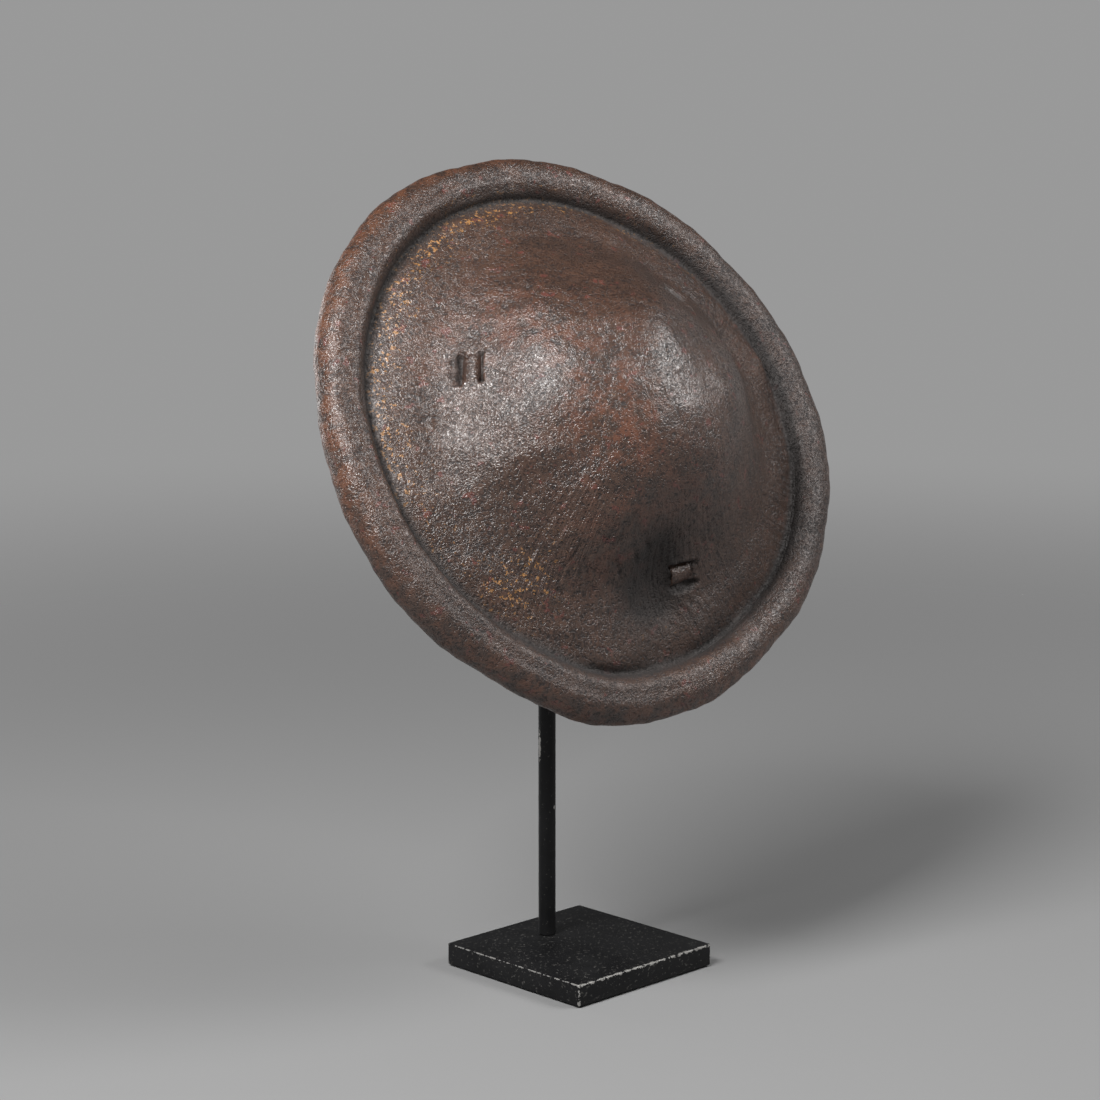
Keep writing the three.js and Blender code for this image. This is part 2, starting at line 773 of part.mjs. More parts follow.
// Assembly: stand, then the frame that turns on the post, then the leaning shield frame.
const shield = new THREE.Group();
shield.position.set(0, -shieldReach, shieldHeight);
shield.rotation.x = Math.PI / 2 - shieldLeanDegrees * radians;
shield.add(
  hideShell(),
  strap('strap_right', attachments.right),
  strap('strap_left', attachments.left),
  strap('strap_lower', attachments.lower),
  hubKnot(),
  gripSleeve(),
  lashing('lashing_right', attachments.right),
  lashing('lashing_left', attachments.left),
  lashing('lashing_lower', attachments.lower),
  spineBar(),
  ...hookParts(),
  ...footParts(),
);

const turnedMount = new THREE.Group();
turnedMount.rotation.z = -shieldTurnDegrees * radians;
turnedMount.add(mountStem(), shield);

const postFrame = new THREE.Group();
postFrame.position.set(0, postSetbackDistance, plateTop);
postFrame.add(post(), postCollar(), lockingScrew(), turnedMount);

const model = new THREE.Group();
model.add(feltUnderlay(), basePlate(), baseScrew(), postFrame);

export default model;
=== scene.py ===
"""Looks of a round hide shield on its black display stand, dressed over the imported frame.

Shield coordinates are millimetres in the shield's own frame: X to the right as seen from its
front, Y up along its face and Z out of its front. World coordinates are the frame's metres.
"""

import math

import bmesh
import bpy
import numpy as np
from mathutils import Matrix, Vector


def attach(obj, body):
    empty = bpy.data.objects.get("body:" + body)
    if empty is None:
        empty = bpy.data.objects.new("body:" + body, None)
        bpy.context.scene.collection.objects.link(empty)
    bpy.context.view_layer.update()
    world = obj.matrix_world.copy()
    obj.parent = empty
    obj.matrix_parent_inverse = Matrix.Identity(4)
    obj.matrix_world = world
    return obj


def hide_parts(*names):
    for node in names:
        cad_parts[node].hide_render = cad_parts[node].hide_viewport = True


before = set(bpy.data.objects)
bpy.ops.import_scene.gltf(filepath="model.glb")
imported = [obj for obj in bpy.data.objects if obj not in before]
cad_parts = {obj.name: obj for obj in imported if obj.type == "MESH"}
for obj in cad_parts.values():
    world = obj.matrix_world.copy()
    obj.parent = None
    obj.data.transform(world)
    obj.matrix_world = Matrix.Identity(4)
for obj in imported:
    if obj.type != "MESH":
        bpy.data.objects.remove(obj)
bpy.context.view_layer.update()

MM = 0.001
TAU = 2 * math.pi

# Where the shield and its mount stand.
POST_SETBACK = 32.0
PLATE_TOP = 16.2
PLATE_HALF = 65.0
SHIELD_HEIGHT = 360.0
SHIELD_REACH = 40.0
LEAN = math.radians(27.4)
TURN = math.radians(8.6)

# Hide section.
RIM_RADIUS = 200.0
TUBE_RADIUS = 16.5
GROOVE_RADIUS = 168.0
HIDE = 7.0
DOME_RISE = 60.0
DOME_POWER = 1.7
BOSS_RADIUS = 137.0
BOSS_RISE = 43.0
BOSS_POWER = 3.0
DIMPLE_DEPTH = 5.0
DIMPLE_SPREAD = 34.0
LIP_DEGREES = -145.0
INNER_END_DEGREES = 150.0
TUBE_CENTRE = RIM_RADIUS - TUBE_RADIUS
HOLLOW_RADIUS = TUBE_RADIUS - HIDE
GROOVE_FLOOR = math.sqrt(TUBE_RADIUS**2 - (TUBE_CENTRE - GROOVE_RADIUS) ** 2)
SWELL_START = 138.0
GROOVE_START = 164.5
FINE_START = 80.0
TURN_BACK_SHARE = 0.9
# Share of the front's unevenness that shows behind.
BACK_SHARE = 0.6
HIDE_SIDES = 420

# Swells and flats of the rim: turn and spread in degrees, reach as a share of the radius.
SWELLS = [
    (5, 22, 0.012),
    (62, 20, -0.016),
    (125, 28, 0.009),
    (184, 14, -0.009),
    (256, 13, 0.026),
    (299, 18, -0.02),
]

# Strap attachments: turn round the face, distance from the axis and layer at the hub.
ATTACHMENTS = {
    "right": (45.7, 105.3, 0),
    "left": (160.0, 110.8, 1),
    "lower": (282.1, 120.0, 2),
}
SLIT_PITCH = 16.0
SLIT_HALF_LENGTH = 10.6
# Depth of the slits and height of their lips, in front and behind.
SLIT_FRONT = (4.6, 0.7)
SLIT_BACK = (2.0, 0.2)
# Inner slit, then outer slit: how far each opens towards the axis and away from it, and how much
# of its depth is lost again on the side away from the axis.
SLIT_EDGES = {
    "right": ((2.6, 2.8, 0.0), (1.0, 1.2, 0.0)),
    "left": ((1.0, 2.9, 0.0), (6.2, 5.0, 0.75)),
    "lower": ((1.6, 3.2, 0.0), (5.4, 3.0, 0.5)),
}
# Where the strap comes up onto the bridge and leaves it, measured from the bridge's middle.
BRIDGE_TOPS = {"right": (-4.4, 4.0), "left": (-4.9, 1.6), "lower": (-4.6, 2.4)}
# How wide the strap bends down off the bridge.
OUTER_BEND = {"right": 2.6, "left": 3.0, "lower": 3.0}
# Half length of the crease that runs on from the inner slit, and none where it is zero.
SLIT_CREASE = {"right": 19.0, "left": 0.0, "lower": 13.0}
STRAP_WIDTH = 20.0
STRAP_THICKNESS = 2.5
STRAP_STEP = 2.8
# How deep the strap has sunk into the bridge, and how deep its bed is.
STRAP_SINKS = {"right": 3.6, "left": 1.3, "lower": 1.3}
BED_DEPTHS = {"right": 4.6, "left": 3.0, "lower": 3.0}
HUB_DEPTH = 12.0
HUB_RISE_RADIUS = 18.0
HUB_TAB = 9.0
TAIL = 26.0
LASHING_GAP = 6.0
LASHING_LENGTH = 12.0
LASHING_CORD = 1.15
LASHING_TURNS = 5
LASHING_HALVES = (11.4, 4.1)
GRIP_START = 6.0
GRIP_LENGTH = 58.0
GRIP_HALVES = (13.5, 8.0)
SEAM_SIDE = 3.0

# The slope of the boss is eased round a place a little inside the right attachment.
EASED_RADIUS = 99.6
EASED_LEAN = 0.71
EASED_SPREAD = 24.0

# The boss's crown, and the side on which the beads lie.
CROWN = (0, 6)
BEADS_TURN = -4

# Patches on the dish: depth or share, then x, y and spread.
PITS = [(8.0, -1, -118, 21), (2.0, 30, -96, 22)]
RED_PATCHES = [
    (0.9, -42, -22, 34),
    (0.6, -62, 46, 44),
    (0.55, -30, -92, 40),
    (0.35, -104, 62, 34),
    (0.35, 28, -60, 30),
]
OCHRE_PATCHES = [(1.1, -98, -104, 30), (0.5, 0, -148, 34), (0.35, -50, -18, 26)]
# Painted shade in and round the deep pit by the lower slits, over some dark staining there.
PAINTED_SHADE_PATCHES = [(1.4, -3, -118, 24), (0.35, 4, -124, 50)]

# Camera, from its fit to the photograph's frame of 1100 by 1100.
LENS = 94.91
SENSOR = 36.0
CAMERA_PLACE = (-1.3726, -1.3726, 0.6366)
CAMERA_AZIMUTH = math.radians(-44.4)
CAMERA_PITCH = math.radians(10.0)


# Frames.


def turn_x(angle):
    """Matrix of a turn about X."""
    c, s = math.cos(angle), math.sin(angle)
    return np.array([[1, 0, 0], [0, c, -s], [0, s, c]])


def turn_z(angle):
    """Matrix of a turn about Z."""
    c, s = math.cos(angle), math.sin(angle)
    return np.array([[c, -s, 0], [s, c, 0], [0, 0, 1]])


SHIELD_AXES = turn_z(-TURN) @ turn_x(math.pi / 2 - LEAN)
POST_FOOT = np.array([0, POST_SETBACK, PLATE_TOP])
SHIELD_CENTRE = turn_z(-TURN) @ np.array([0, -SHIELD_REACH, SHIELD_HEIGHT]) + POST_FOOT


def to_world(points):
    """Shield millimetres to world metres: the shield's centre plus its axes times the point."""
    return (np.asarray(points, float) @ SHIELD_AXES.T + SHIELD_CENTRE) * MM


# Mesh helpers.


def linked(name, data):
    """A new object for a mesh, a lamp or a camera, linked to the scene."""
    made = bpy.data.objects.new(name, data)
    bpy.context.scene.collection.objects.link(made)
    return made


def make_object(name, vertices, faces):
    """A smooth mesh object from arrays of vertices and faces."""
    mesh = bpy.data.meshes.new(name)
    mesh.from_pydata(np.asarray(vertices).tolist(), [], faces)
    mesh.update()
    mesh.shade_smooth()
    return linked(name, mesh)


def shield_piece(name, vertices, faces):
    """A closed shape in shield millimetres as an object whose faces point out."""
    return outward(make_object(name, to_world(vertices), faces))


def ring_faces(rows, sides):
    """Quads between neighbouring rows of a grid that closes round each row."""
    i, j = np.meshgrid(np.arange(rows - 1), np.arange(sides), indexing="ij")
    k = (j + 1) % sides
    quads = np.stack([i * sides + j, i * sides + k, (i + 1) * sides + k, (i + 1) * sides + j], -1)
    return quads.reshape(-1, 4).tolist()


def fan_faces(centre, first, sides, flip):
    """Triangles from one vertex to each side of a ring."""
    j = np.arange(sides)
    k = (j + 1) % sides
    pair = (first + k, first + j) if flip else (first + j, first + k)
    return np.stack([np.full(sides, centre), *pair], -1).tolist()


def capped(rings, first_pole, last_pole):
    """Rows of points made a closed body: quads between the rows and a fan onto each pole."""
    rows, sides = rings.shape[:2]
    vertices = np.vstack([rings.reshape(-1, 3), [first_pole], [last_pole]])
    faces = ring_faces(rows, sides) + fan_faces(rows * sides, 0, sides, True)
    return vertices, faces + fan_faces(rows * sides + 1, (rows - 1) * sides, sides, False)


def set_attribute(made, name, values):
    """Stores one value or one vector for each vertex."""
    values = np.asarray(values, float)
    kind, key = ("FLOAT", "value") if values.ndim == 1 else ("FLOAT_VECTOR", "vector")
    layer = made.data.attributes.new(name, kind, "POINT")
    layer.data.foreach_set(key, values.ravel())


def outward(made):
    """Turns the faces out where the mesh's signed volume says that they point in."""
    work = bmesh.new()
    work.from_mesh(made.data)
    if work.calc_volume(signed=True) < 0:
        made.data.flip_normals()
    work.free()
    return made


def full_turn(count):
    """Even angles over one turn."""
    return np.arange(count) / count * TAU


def round_points(turn, radius, height):
    """Points [r cos t, r sin t, h] of a turn, a distance from the axis and a height."""
    x, y = radius * np.cos(turn), radius * np.sin(turn)
    return np.stack([x, y, np.broadcast_to(height, x.shape)], -1)


def unit(rows):
    """Vectors scaled to a length of 1."""
    return rows / np.linalg.norm(rows, axis=-1, keepdims=True)


def line_normals(line):
    """Left-hand normals of a line of [a, b] points."""
    ahead = unit(np.gradient(line, axis=0))
    return np.stack([-ahead[:, 1], ahead[:, 0]], -1)


def curve(start, corner, end, t):
    """Points of a quadratic curve: (1 - t)^2 start + 2 t (1 - t) corner + t^2 end."""
    return (1 - t) ** 2 * start + 2 * t * (1 - t) * corner + t**2 * end


def filleted(points, radii, step):
    """A line of [a, b] points whose corners are rounded: each corner becomes a quadratic curve
    that starts and ends its radius away from the corner, and straight runs are split by step."""
    points = np.asarray(points, float)
    line = [points[0]]
    for i in range(1, len(points) - 1):
        corner, radius = points[i], radii[i - 1]
        arms = points[i - 1] - corner, points[i + 1] - corner
        start, end = (corner + unit(arm) * min(radius, np.linalg.norm(arm) / 2) for arm in arms)
        line += list(curve(start, corner, end, np.linspace(0, 1, 7)[:, None]))
    line.append(points[-1])
    split = [line[0]]
    for a, b in zip(line[:-1], line[1:]):
        count = max(1, int(np.linalg.norm(b - a) / step))
        split += [a + (b - a) * k / count for k in range(1, count + 1)]
    return np.array(split)


def swept(path, across, over, closed=False):
    """A tube whose section is given by two offsets for each path point: vertex = path + across
    + over. across and over are arrays of rows by sides by 3, and fans close the open ends."""
    rows, sides = across.shape[:2]
    body = path[:, None, :] + across + over
    if not closed:
        return capped(body, path[0], path[-1])
    j = np.arange(sides)
    k = (j + 1) % sides
    last = (rows - 1) * sides
    join = np.stack([last + j, last + k, k, j], -1).tolist()
    return body.reshape(-1, 3), ring_faces(rows, sides) + join


def round_tube(path, radius, sides=10, closed=False, guide=(0, 0, 1)):
    """A round tube along a 3-D path: the circle lies across the path's direction at each point."""
    ahead = np.roll(path, -1, 0) - np.roll(path, 1, 0)
    if not closed:
        ahead[0] = path[1] - path[0]
        ahead[-1] = path[-1] - path[-2]
    ahead = unit(ahead)
    side = unit(np.cross(ahead, guide))
    up = np.cross(side, ahead)
    angle = full_turn(sides)[:, None]
    radius = np.broadcast_to(radius, len(path))[:, None, None]
    wide = side[:, None] * radius * np.cos(angle)
    return swept(path, wide, up[:, None] * radius * np.sin(angle), closed)


def joined(shapes):
    """Several (vertices, faces) shapes as one."""
    vertices, faces, start = [], [], 0
    for points, polygons in shapes:
        vertices.append(points)
        faces += [[v + start for v in polygon] for polygon in polygons]
        start += len(points)
    return np.vstack(vertices), faces


def lumps(x, y, length, seed, count=14):
    """Smooth unevenness: a sum of cosines of random direction, with wavelengths near length."""
    rng = np.random.default_rng(seed)
    turns = rng.uniform(0, TAU, count)
    waves = length * rng.uniform(0.7, 1.5, count)
    phases = rng.uniform(0, TAU, count)
    total = np.zeros_like(x)
    for turn, wave, phase in zip(turns, waves, phases):
        total += np.cos(TAU / wave * (x * math.cos(turn) + y * math.sin(turn)) + phase)
    return total / math.sqrt(count / 2)


def smoothstep(value, low, high):
    """0 below low, 1 above high and t^2 (3 - 2t) between them."""
    t = np.clip((value - low) / (high - low), 0, 1)
    return t * t * (3 - 2 * t)


def fading(value, low, high):
    """1 below low, 0 above high."""
    return 1 - smoothstep(value, low, high)


def toward(turn, degrees, low, high):
    """1 towards one side of the face: the cosine of the angle away from it, from low to high."""
    return smoothstep(np.cos(turn - math.radians(degrees)), low, high)


def lower_left(turn):
    """1 in the lower left of the face, where the hide is folded."""
    degrees = np.degrees(turn) % 360
    return smoothstep(degrees, 205, 232) * fading(degrees, 288, 318)


def bell(value, spread):
    """A bell curve: e to the power of -(value / spread)^2."""
    return np.exp(-((value / spread) ** 2))


def patches(x, y, places):
    """Soft round patches added up: share times the bell curve of the distance from each place."""
    total = np.zeros_like(x)
    for share, at_x, at_y, spread in places:
        total += share * bell(np.hypot(x - at_x, y - at_y), spread)
    return total


def on_face(degrees, radius):
    """x and y of a place on the face."""
    return radius * math.cos(math.radians(degrees)), radius * math.sin(math.radians(degrees))


def from_place(x, y, degrees, radius, lean):
    """Distances from a place on the face: outwards along the hide, whose lean is a cosine, and
    aside across it."""
    c, s = on_face(degrees, 1)
    return (x * c + y * s - radius) / lean, y * c - x * s


# Hide shell.


def boss_share(radius):
    """1 - (r/b)^q inside the boss, and 0 outside it."""
    return np.clip(1 - (radius / BOSS_RADIUS) ** BOSS_POWER, 0, None)


def front_depth(radius):
    """Dome plus boss: groove floor + rise (1 - (r/R)^p) + boss (1 - (r/b)^q)^2 inside the boss."""
    dome = DOME_RISE * (1 - (radius / GROOVE_RADIUS) ** DOME_POWER)
    return GROOVE_FLOOR + dome + BOSS_RISE * boss_share(radius) ** 2


def front_fall(radius):
    """Angle at which the front falls outwards: the arc tangent of minus the depth's slope."""
    dome = DOME_RISE * DOME_POWER / GROOVE_RADIUS * (radius / GROOVE_RADIUS) ** (DOME_POWER - 1)
    steep = 2 * BOSS_RISE * BOSS_POWER / BOSS_RADIUS * (radius / BOSS_RADIUS) ** (BOSS_POWER - 1)
    return np.arctan(dome + steep * boss_share(radius))


def hide_lean(radius):
    """How much of a step outwards along the hide shows from the front."""
    return math.cos(float(front_fall(np.array(radius))))


def rim_arc(tube_radius, start, end, count):
    """[radius, depth] points of an arc about the rim's tube."""
    angle = np.radians(np.linspace(start, end, count))
    return np.stack([TUBE_CENTRE + tube_radius * np.cos(angle), tube_radius * np.sin(angle)], -1)


def hide_section():
    """The hide's section as [radius, depth] points, with the side each row belongs to:
    1 for the front of the dish, 2 for the rim's outside, 3 for its hollow, 4 for the back."""
    fine = np.linspace(FINE_START + 0.9, SWELL_START, 63)
    coarse = np.linspace(SWELL_START + 2, GROOVE_START, 13)
    radii = np.concatenate([np.linspace(0, FINE_START, 28), fine, coarse])
    front = np.stack([radii, front_depth(radii)], -1)
    corner = np.array([GROOVE_RADIUS, GROOVE_FLOOR])
    outer = rim_arc(TUBE_RADIUS, INNER_END_DEGREES, LIP_DEGREES, 48)
    groove = curve(front[-1], corner, outer[0], np.linspace(0, 1, 7)[1:-1, None])
    middle = (TUBE_RADIUS + HOLLOW_RADIUS) / 2
    lip_angle = math.radians(LIP_DEGREES)
    along = np.array([math.cos(lip_angle), math.sin(lip_angle)])
    past = np.array([math.sin(lip_angle), -math.cos(lip_angle)])
    lip_turn = np.linspace(0, math.pi, 7)[1:-1, None]
    lip = (middle + HIDE / 2 * np.cos(lip_turn)) * along + HIDE / 2 * np.sin(lip_turn) * past
    lip += [TUBE_CENTRE, 0]
    hollow = rim_arc(HOLLOW_RADIUS, LIP_DEGREES, INNER_END_DEGREES, 14)
    turn_back = np.array([[GROOVE_RADIUS + HIDE / 2, GROOVE_FLOOR - HIDE * TURN_BACK_SHARE]])
    coarse = np.linspace(GROOVE_START - 0.5, SWELL_START + 2, 5)
    fine = np.linspace(SWELL_START, FINE_START, 30)
    radii = np.concatenate([coarse, fine, np.linspace(FINE_START - 6, 0, 13)])
    fall = front_fall(radii)
    back = np.stack([radii - HIDE * np.sin(fall), front_depth(radii) - HIDE * np.cos(fall)], -1)
    parts = [front, groove, outer, lip, hollow, turn_back, back]
    sides = [1, 1, 2, 2, 3, 4, 4]
    side = np.concatenate([np.full(len(p), s) for p, s in zip(parts, sides)])
    return np.vstack(parts), side


def swell_share(degrees):
    """How far the rim reaches out of round, as a share of its radius: bell curves added up."""
    share = np.zeros_like(degrees)
    for turn, spread, reach in SWELLS:
        share += reach * bell((degrees - turn + 180) % 360 - 180, spread)
    return share


def slit_places():
    """Each slit's middle, as the attachment's turn, radius and lean and the slit's place along the
    hide, then how far it opens each way and the half length of the crease that runs on from it."""
    for name, (degrees, radius, _) in ATTACHMENTS.items():
        creases = (SLIT_CREASE[name], 0.0)
        for side, edges, crease in zip((-0.5, 0.5), SLIT_EDGES[name], creases):
            yield (degrees, radius, hide_lean(radius)), side * SLIT_PITCH, edges, crease


def slit_relief(x, y, depth, lip):
    """Depth of the slits below the hide and the height of their lips: each is a slot whose edges
    are half ellipses over its length, with a thin crease that runs on past its ends."""
    relief = np.zeros_like(x)
    for attachment, along, (near, far, shelf), crease in slit_places():
        out, aside = from_place(x, y, *attachment)
        out = out - along
        bow = out + 0.007 * aside**2 + 0.35 * np.cos(aside / 1.9)
        span = np.sqrt(np.clip(1 - (aside / (SLIT_HALF_LENGTH + 0.8)) ** 2, 0, 1))
        near_edge, far_edge = -near * span, far * span**0.4
        slot = smoothstep(bow, near_edge - 0.5, near_edge + 0.4)
        slot *= fading(bow, far_edge - 0.4, far_edge + 0.5) * (span > 0)
        slot *= 1 - shelf * smoothstep(bow, -0.8, 1.2)
        if crease:
            line = bell(out + 0.010 * aside**2, 1.2)
            slot = np.maximum(slot, 0.45 * line * fading(np.abs(aside), crease - 6, crease))
        nearby = bell(np.maximum(np.maximum(-bow - near, bow - far), 0), 2.6)
        relief += lip * nearby * fading(np.abs(aside), 8, 15) - depth * slot
    return relief


def bridge_relief(x, y):
    """The bed that the strap has worn across the bridge between its two slits: it is narrower than
    the strap, whose edges have sunk into the hide."""
    relief = np.zeros_like(x)
    for name, (degrees, radius, _) in ATTACHMENTS.items():
        out, aside = from_place(x, y, degrees, radius, hide_lean(radius))
        low, high = BRIDGE_TOPS[name]
        bed = smoothstep(out, low - 1, low + 1) * fading(out, high - 1, high + 1)
        bed *= fading(np.abs(aside), STRAP_WIDTH / 2 - 3.0, STRAP_WIDTH / 2 - 1.2)
        relief -= BED_DEPTHS[name] * bed
    return relief


def spiral(radius):
    """How far a fold has turned round the face by a radius: a slow logarithmic spiral."""
    return 0.32 * np.log(np.maximum(radius, 20) / 120)


def dish_relief(x, y, radius, turn):
    """Unevenness of the dish: broad lumps, a deeper pit inside the lower slits, fine radial folds
    in the lower left and beads at the right, a flatter place round the right slits (0.2 times the
    distance outwards, fading as a bell curve), and the pitted crown of the boss."""
    relief = 0.9 * lumps(x, y, 70, 1) + 0.2 * lumps(x, y, 24, 2) + 0.07 * lumps(x, y, 9, 3)
    relief -= patches(x, y, PITS)
    curled = turn + 0.03 * lumps(x, y, 38, 7) - spiral(radius)
    folds = np.cos(96 * curled) + 0.6 * np.cos(151 * curled + 2)
    folds *= (0.5 + 0.5 * lumps(x, y, 17, 8)) * lower_left(turn)
    relief += 0.42 * folds * smoothstep(radius, 74, 108) * fading(radius, 146, 162)
    beads = np.cos(112 * turn + 1.2 * np.sin(radius / 7) + 1.3 * lumps(x, y, 30, 9))
    beads *= (0.6 + 0.4 * lumps(x, y, 14, 10)) * toward(turn, BEADS_TURN, 0.72, 0.93)
    relief += 0.5 * beads * smoothstep(radius, 118, 140)
    out, aside = from_place(x, y, ATTACHMENTS["right"][0], EASED_RADIUS, EASED_LEAN)
    relief += 0.2 * out * bell(np.hypot(out, aside), EASED_SPREAD)
    relief += patches(x, y, [(1, *CROWN, 17)]) * (0.2 * lumps(x, y, 5.5, 5) - 0.3)
    return relief


def rim_relief(turn, angle):
    """Unevenness of the rolled rim: cosine lumps along it and, on the left, a shallow valley on its
    crown and a soft ridge inside."""
    roll = np.degrees(angle)
    lump = 0.8 * np.cos(5 * turn + 1) + 0.5 * np.cos(11 * turn + 2.4)
    lump += 0.35 * np.cos(23 * turn + angle * 2)
    fine = 0.16 * np.cos(61 * turn + 3 * angle) + 0.12 * np.cos(97 * turn - 4 * angle + 1)
    valley_and_ridge = bell(roll - 112, 13) - 1.1 * bell(roll - 82, 12)
    return lump + fine + toward(turn, 190, -0.45, 0.5) * valley_and_ridge


def hide_masks(x, y, radius, turn, side, angle):
    """Where each finish, and the painted shade held by crease, lies on the hide, from 0 to 1."""
    front = (side == 1).astype(float)
    rim = (side == 2).astype(float)
    roll = np.degrees(angle)
    upper_left = toward(turn, 150, 0.2, 0.9)

    red = patches(x, y, RED_PATCHES)
    ochre = patches(x, y, OCHRE_PATCHES) + smoothstep(radius, 128, 160) * upper_left
    ochre += 0.8 * smoothstep(radius, 148, 164) * toward(turn, 72, 0.6, 0.95)
    rust = 0.25 + 0.75 * upper_left + 0.7 * toward(turn, 262, 0.55, 0.95)
    folds = lower_left(turn) * smoothstep(radius, 60, 100)
    beads = toward(turn, BEADS_TURN, 0.6, 0.93) * smoothstep(radius, 118, 146)

    # Painted shade: the groove, the pit by the lower slits, the rim's right and lower left, the
    # slits and the bed of the right strap are darkened where shade falls, and the pit also has some
    # dark staining.
    crease = bell(radius - GROOVE_RADIUS, 4.5) * (side <= 2) * (np.abs(angle) > 1.6)
    crease += patches(x, y, PAINTED_SHADE_PATCHES)
    crease += 0.42 * rim * smoothstep(roll, 50, 78) * toward(turn, 2, 0.55, 0.93)
    crease += 0.3 * rim * toward(turn, 232, 0.7, 0.95)
    crease += 0.9 * front * smoothstep(-slit_relief(x, y, 1.0, 0.0), 0.1, 0.45)
    bed = toward(turn, ATTACHMENTS["right"][0], 0.9, 0.98)
    crease += front * bed * smoothstep(-bridge_relief(x, y), 0.2, 1.6)
    return {
        "red": np.clip(red, 0, 1) * front,
        "ochre": np.clip(ochre * (front + 0.5 * rim * (radius < 176)), 0, 1),
        "rust": np.clip(rust * rim * fading(roll, 25, 78), 0, 1),
        "polish": front * patches(x, y, [(1, 4, 2, 62)]),
        "folds": front * folds,
        "beads": front * beads,
        "crown": front * patches(x, y, [(1, *CROWN, 18)]),
        # crease: painted shade, with some dark staining in the pit.
        "crease": np.clip(crease, 0, 1),
        "inside": (side >= 3).astype(float),
    }


def hide_shell():
    """The hide: its section turned about the shield's axis, moved along the section's normal by
    the relief, with its rim swollen and its face sunk a little round the slits."""
    section, side = hide_section()
    normal = line_normals(section)
    normal[0], normal[-1] = [0, 1], [0, -1]
    shape = (len(section), HIDE_SIDES)
    turns = np.broadcast_to(full_turn(HIDE_SIDES), shape)
    radius, depth = (np.broadcast_to(section[:, i : i + 1], shape) for i in range(2))
    sides = np.broadcast_to(side[:, None], shape)
    x, y = radius * np.cos(turns), radius * np.sin(turns)
    angle = np.arctan2(depth, radius - TUBE_CENTRE)

    dish = dish_relief(x, y, radius, turns) * fading(radius, 160, 169)
    front_move = dish + slit_relief(x, y, *SLIT_FRONT) + bridge_relief(x, y)
    rim_move = rim_relief(turns, angle) * fading(angle, 2.1, 2.5)
    back_move = slit_relief(x, y, *SLIT_BACK) - BACK_SHARE * dish
    move = np.select([sides == 1, sides == 2, sides == 4], [front_move, rim_move, back_move], 0.0)
    slits = [on_face(degrees, place) for degrees, place, _ in ATTACHMENTS.values()]
    dimples = patches(x, y, [(DIMPLE_DEPTH, *slit, DIMPLE_SPREAD) for slit in slits])
    swell = 1 + smoothstep(radius, SWELL_START, GROOVE_RADIUS) * swell_share(np.degrees(turns))
    reach = (radius + normal[:, :1] * move) * swell
    height = depth + normal[:, 1:] * move - dimples
    points = round_points(turns, reach, height)

    vertices, faces = capped(points[1:-1], points[0].mean(0), points[-1].mean(0))
    made = shield_piece("hide", vertices, faces)
    set_attribute(made, "shield", vertices * MM)
    flat = round_points(turns - spiral(radius), 1, radius * MM)
    set_attribute(made, "polar", np.vstack([flat[1:-1].reshape(-1, 3), [[1, 0, 0], [1, 0, 0]]]))
    for name, values in hide_masks(x, y, radius, turns, sides, angle).items():
        poles = [values[0].mean(), values[-1].mean()]
        set_attribute(made, name, np.concatenate([values[1:-1].ravel(), poles]))
    return made


# Straps and thongs.


def strap_axes(degrees):
    """Out along the face, the shield's depth, and across the strap."""
    out = np.array([*on_face(degrees, 1), 0])
    depth = np.array([0, 0, 1.0])
    return out, depth, np.cross(out, depth)


def bridge_point(radius, along, height):
    """[radius, depth] of a point by the middle of a bridge: along the hide and off it."""
    fall = float(front_fall(np.array(radius)))
    base = float(front_depth(np.array(radius))) - DIMPLE_DEPTH
    return np.array([
        radius + along * math.cos(fall) + height * math.sin(fall),
        base - along * math.sin(fall) + height * math.cos(fall),
    ])


def strap_leg(name):
    """The strap's hub point, the leg's direction, the direction behind it and its length."""
    _, radius, layer = ATTACHMENTS[name]
    hub = np.array([HUB_RISE_RADIUS, HUB_DEPTH + layer * STRAP_STEP])
    bend = bridge_point(radius, -SLIT_PITCH / 2, -HIDE - STRAP_THICKNESS)
    length = np.linalg.norm(bend - hub)
    direction = (bend - hub) / length
    return hub, direction, np.array([direction[1], -direction[0]]), length


def surface_shift(name):
    """How far the hide's own unevenness lifts or sinks its front at a slit pair."""
    degrees, radius, _ = ATTACHMENTS[name]
    place = (*on_face(degrees, radius), radius, math.radians(degrees))
    return float(dish_relief(*(np.array([value]) for value in place))[0])


def superellipse(count, half_wide, half_tall, power):
    """A closed section between an ellipse and a rectangle: |u/a|^p + |v/b|^p = 1."""
    c, s = np.cos(full_turn(count)), np.sin(full_turn(count))
    wide = half_wide * np.sign(c) * np.abs(c) ** (2 / power)
    tall = half_tall * np.sign(s) * np.abs(s) ** (2 / power)
    return wide, tall


def place_on_shield(made, points):
    """Gives a piece the hide's own coordinates, so that one finish runs over both."""
    set_attribute(made, "shield", points * MM)
    turn = np.arctan2(points[:, 1], points[:, 0])
    radius = np.hypot(points[:, 0], points[:, 1]) * MM
    set_attribute(made, "polar", round_points(turn, 1, radius))


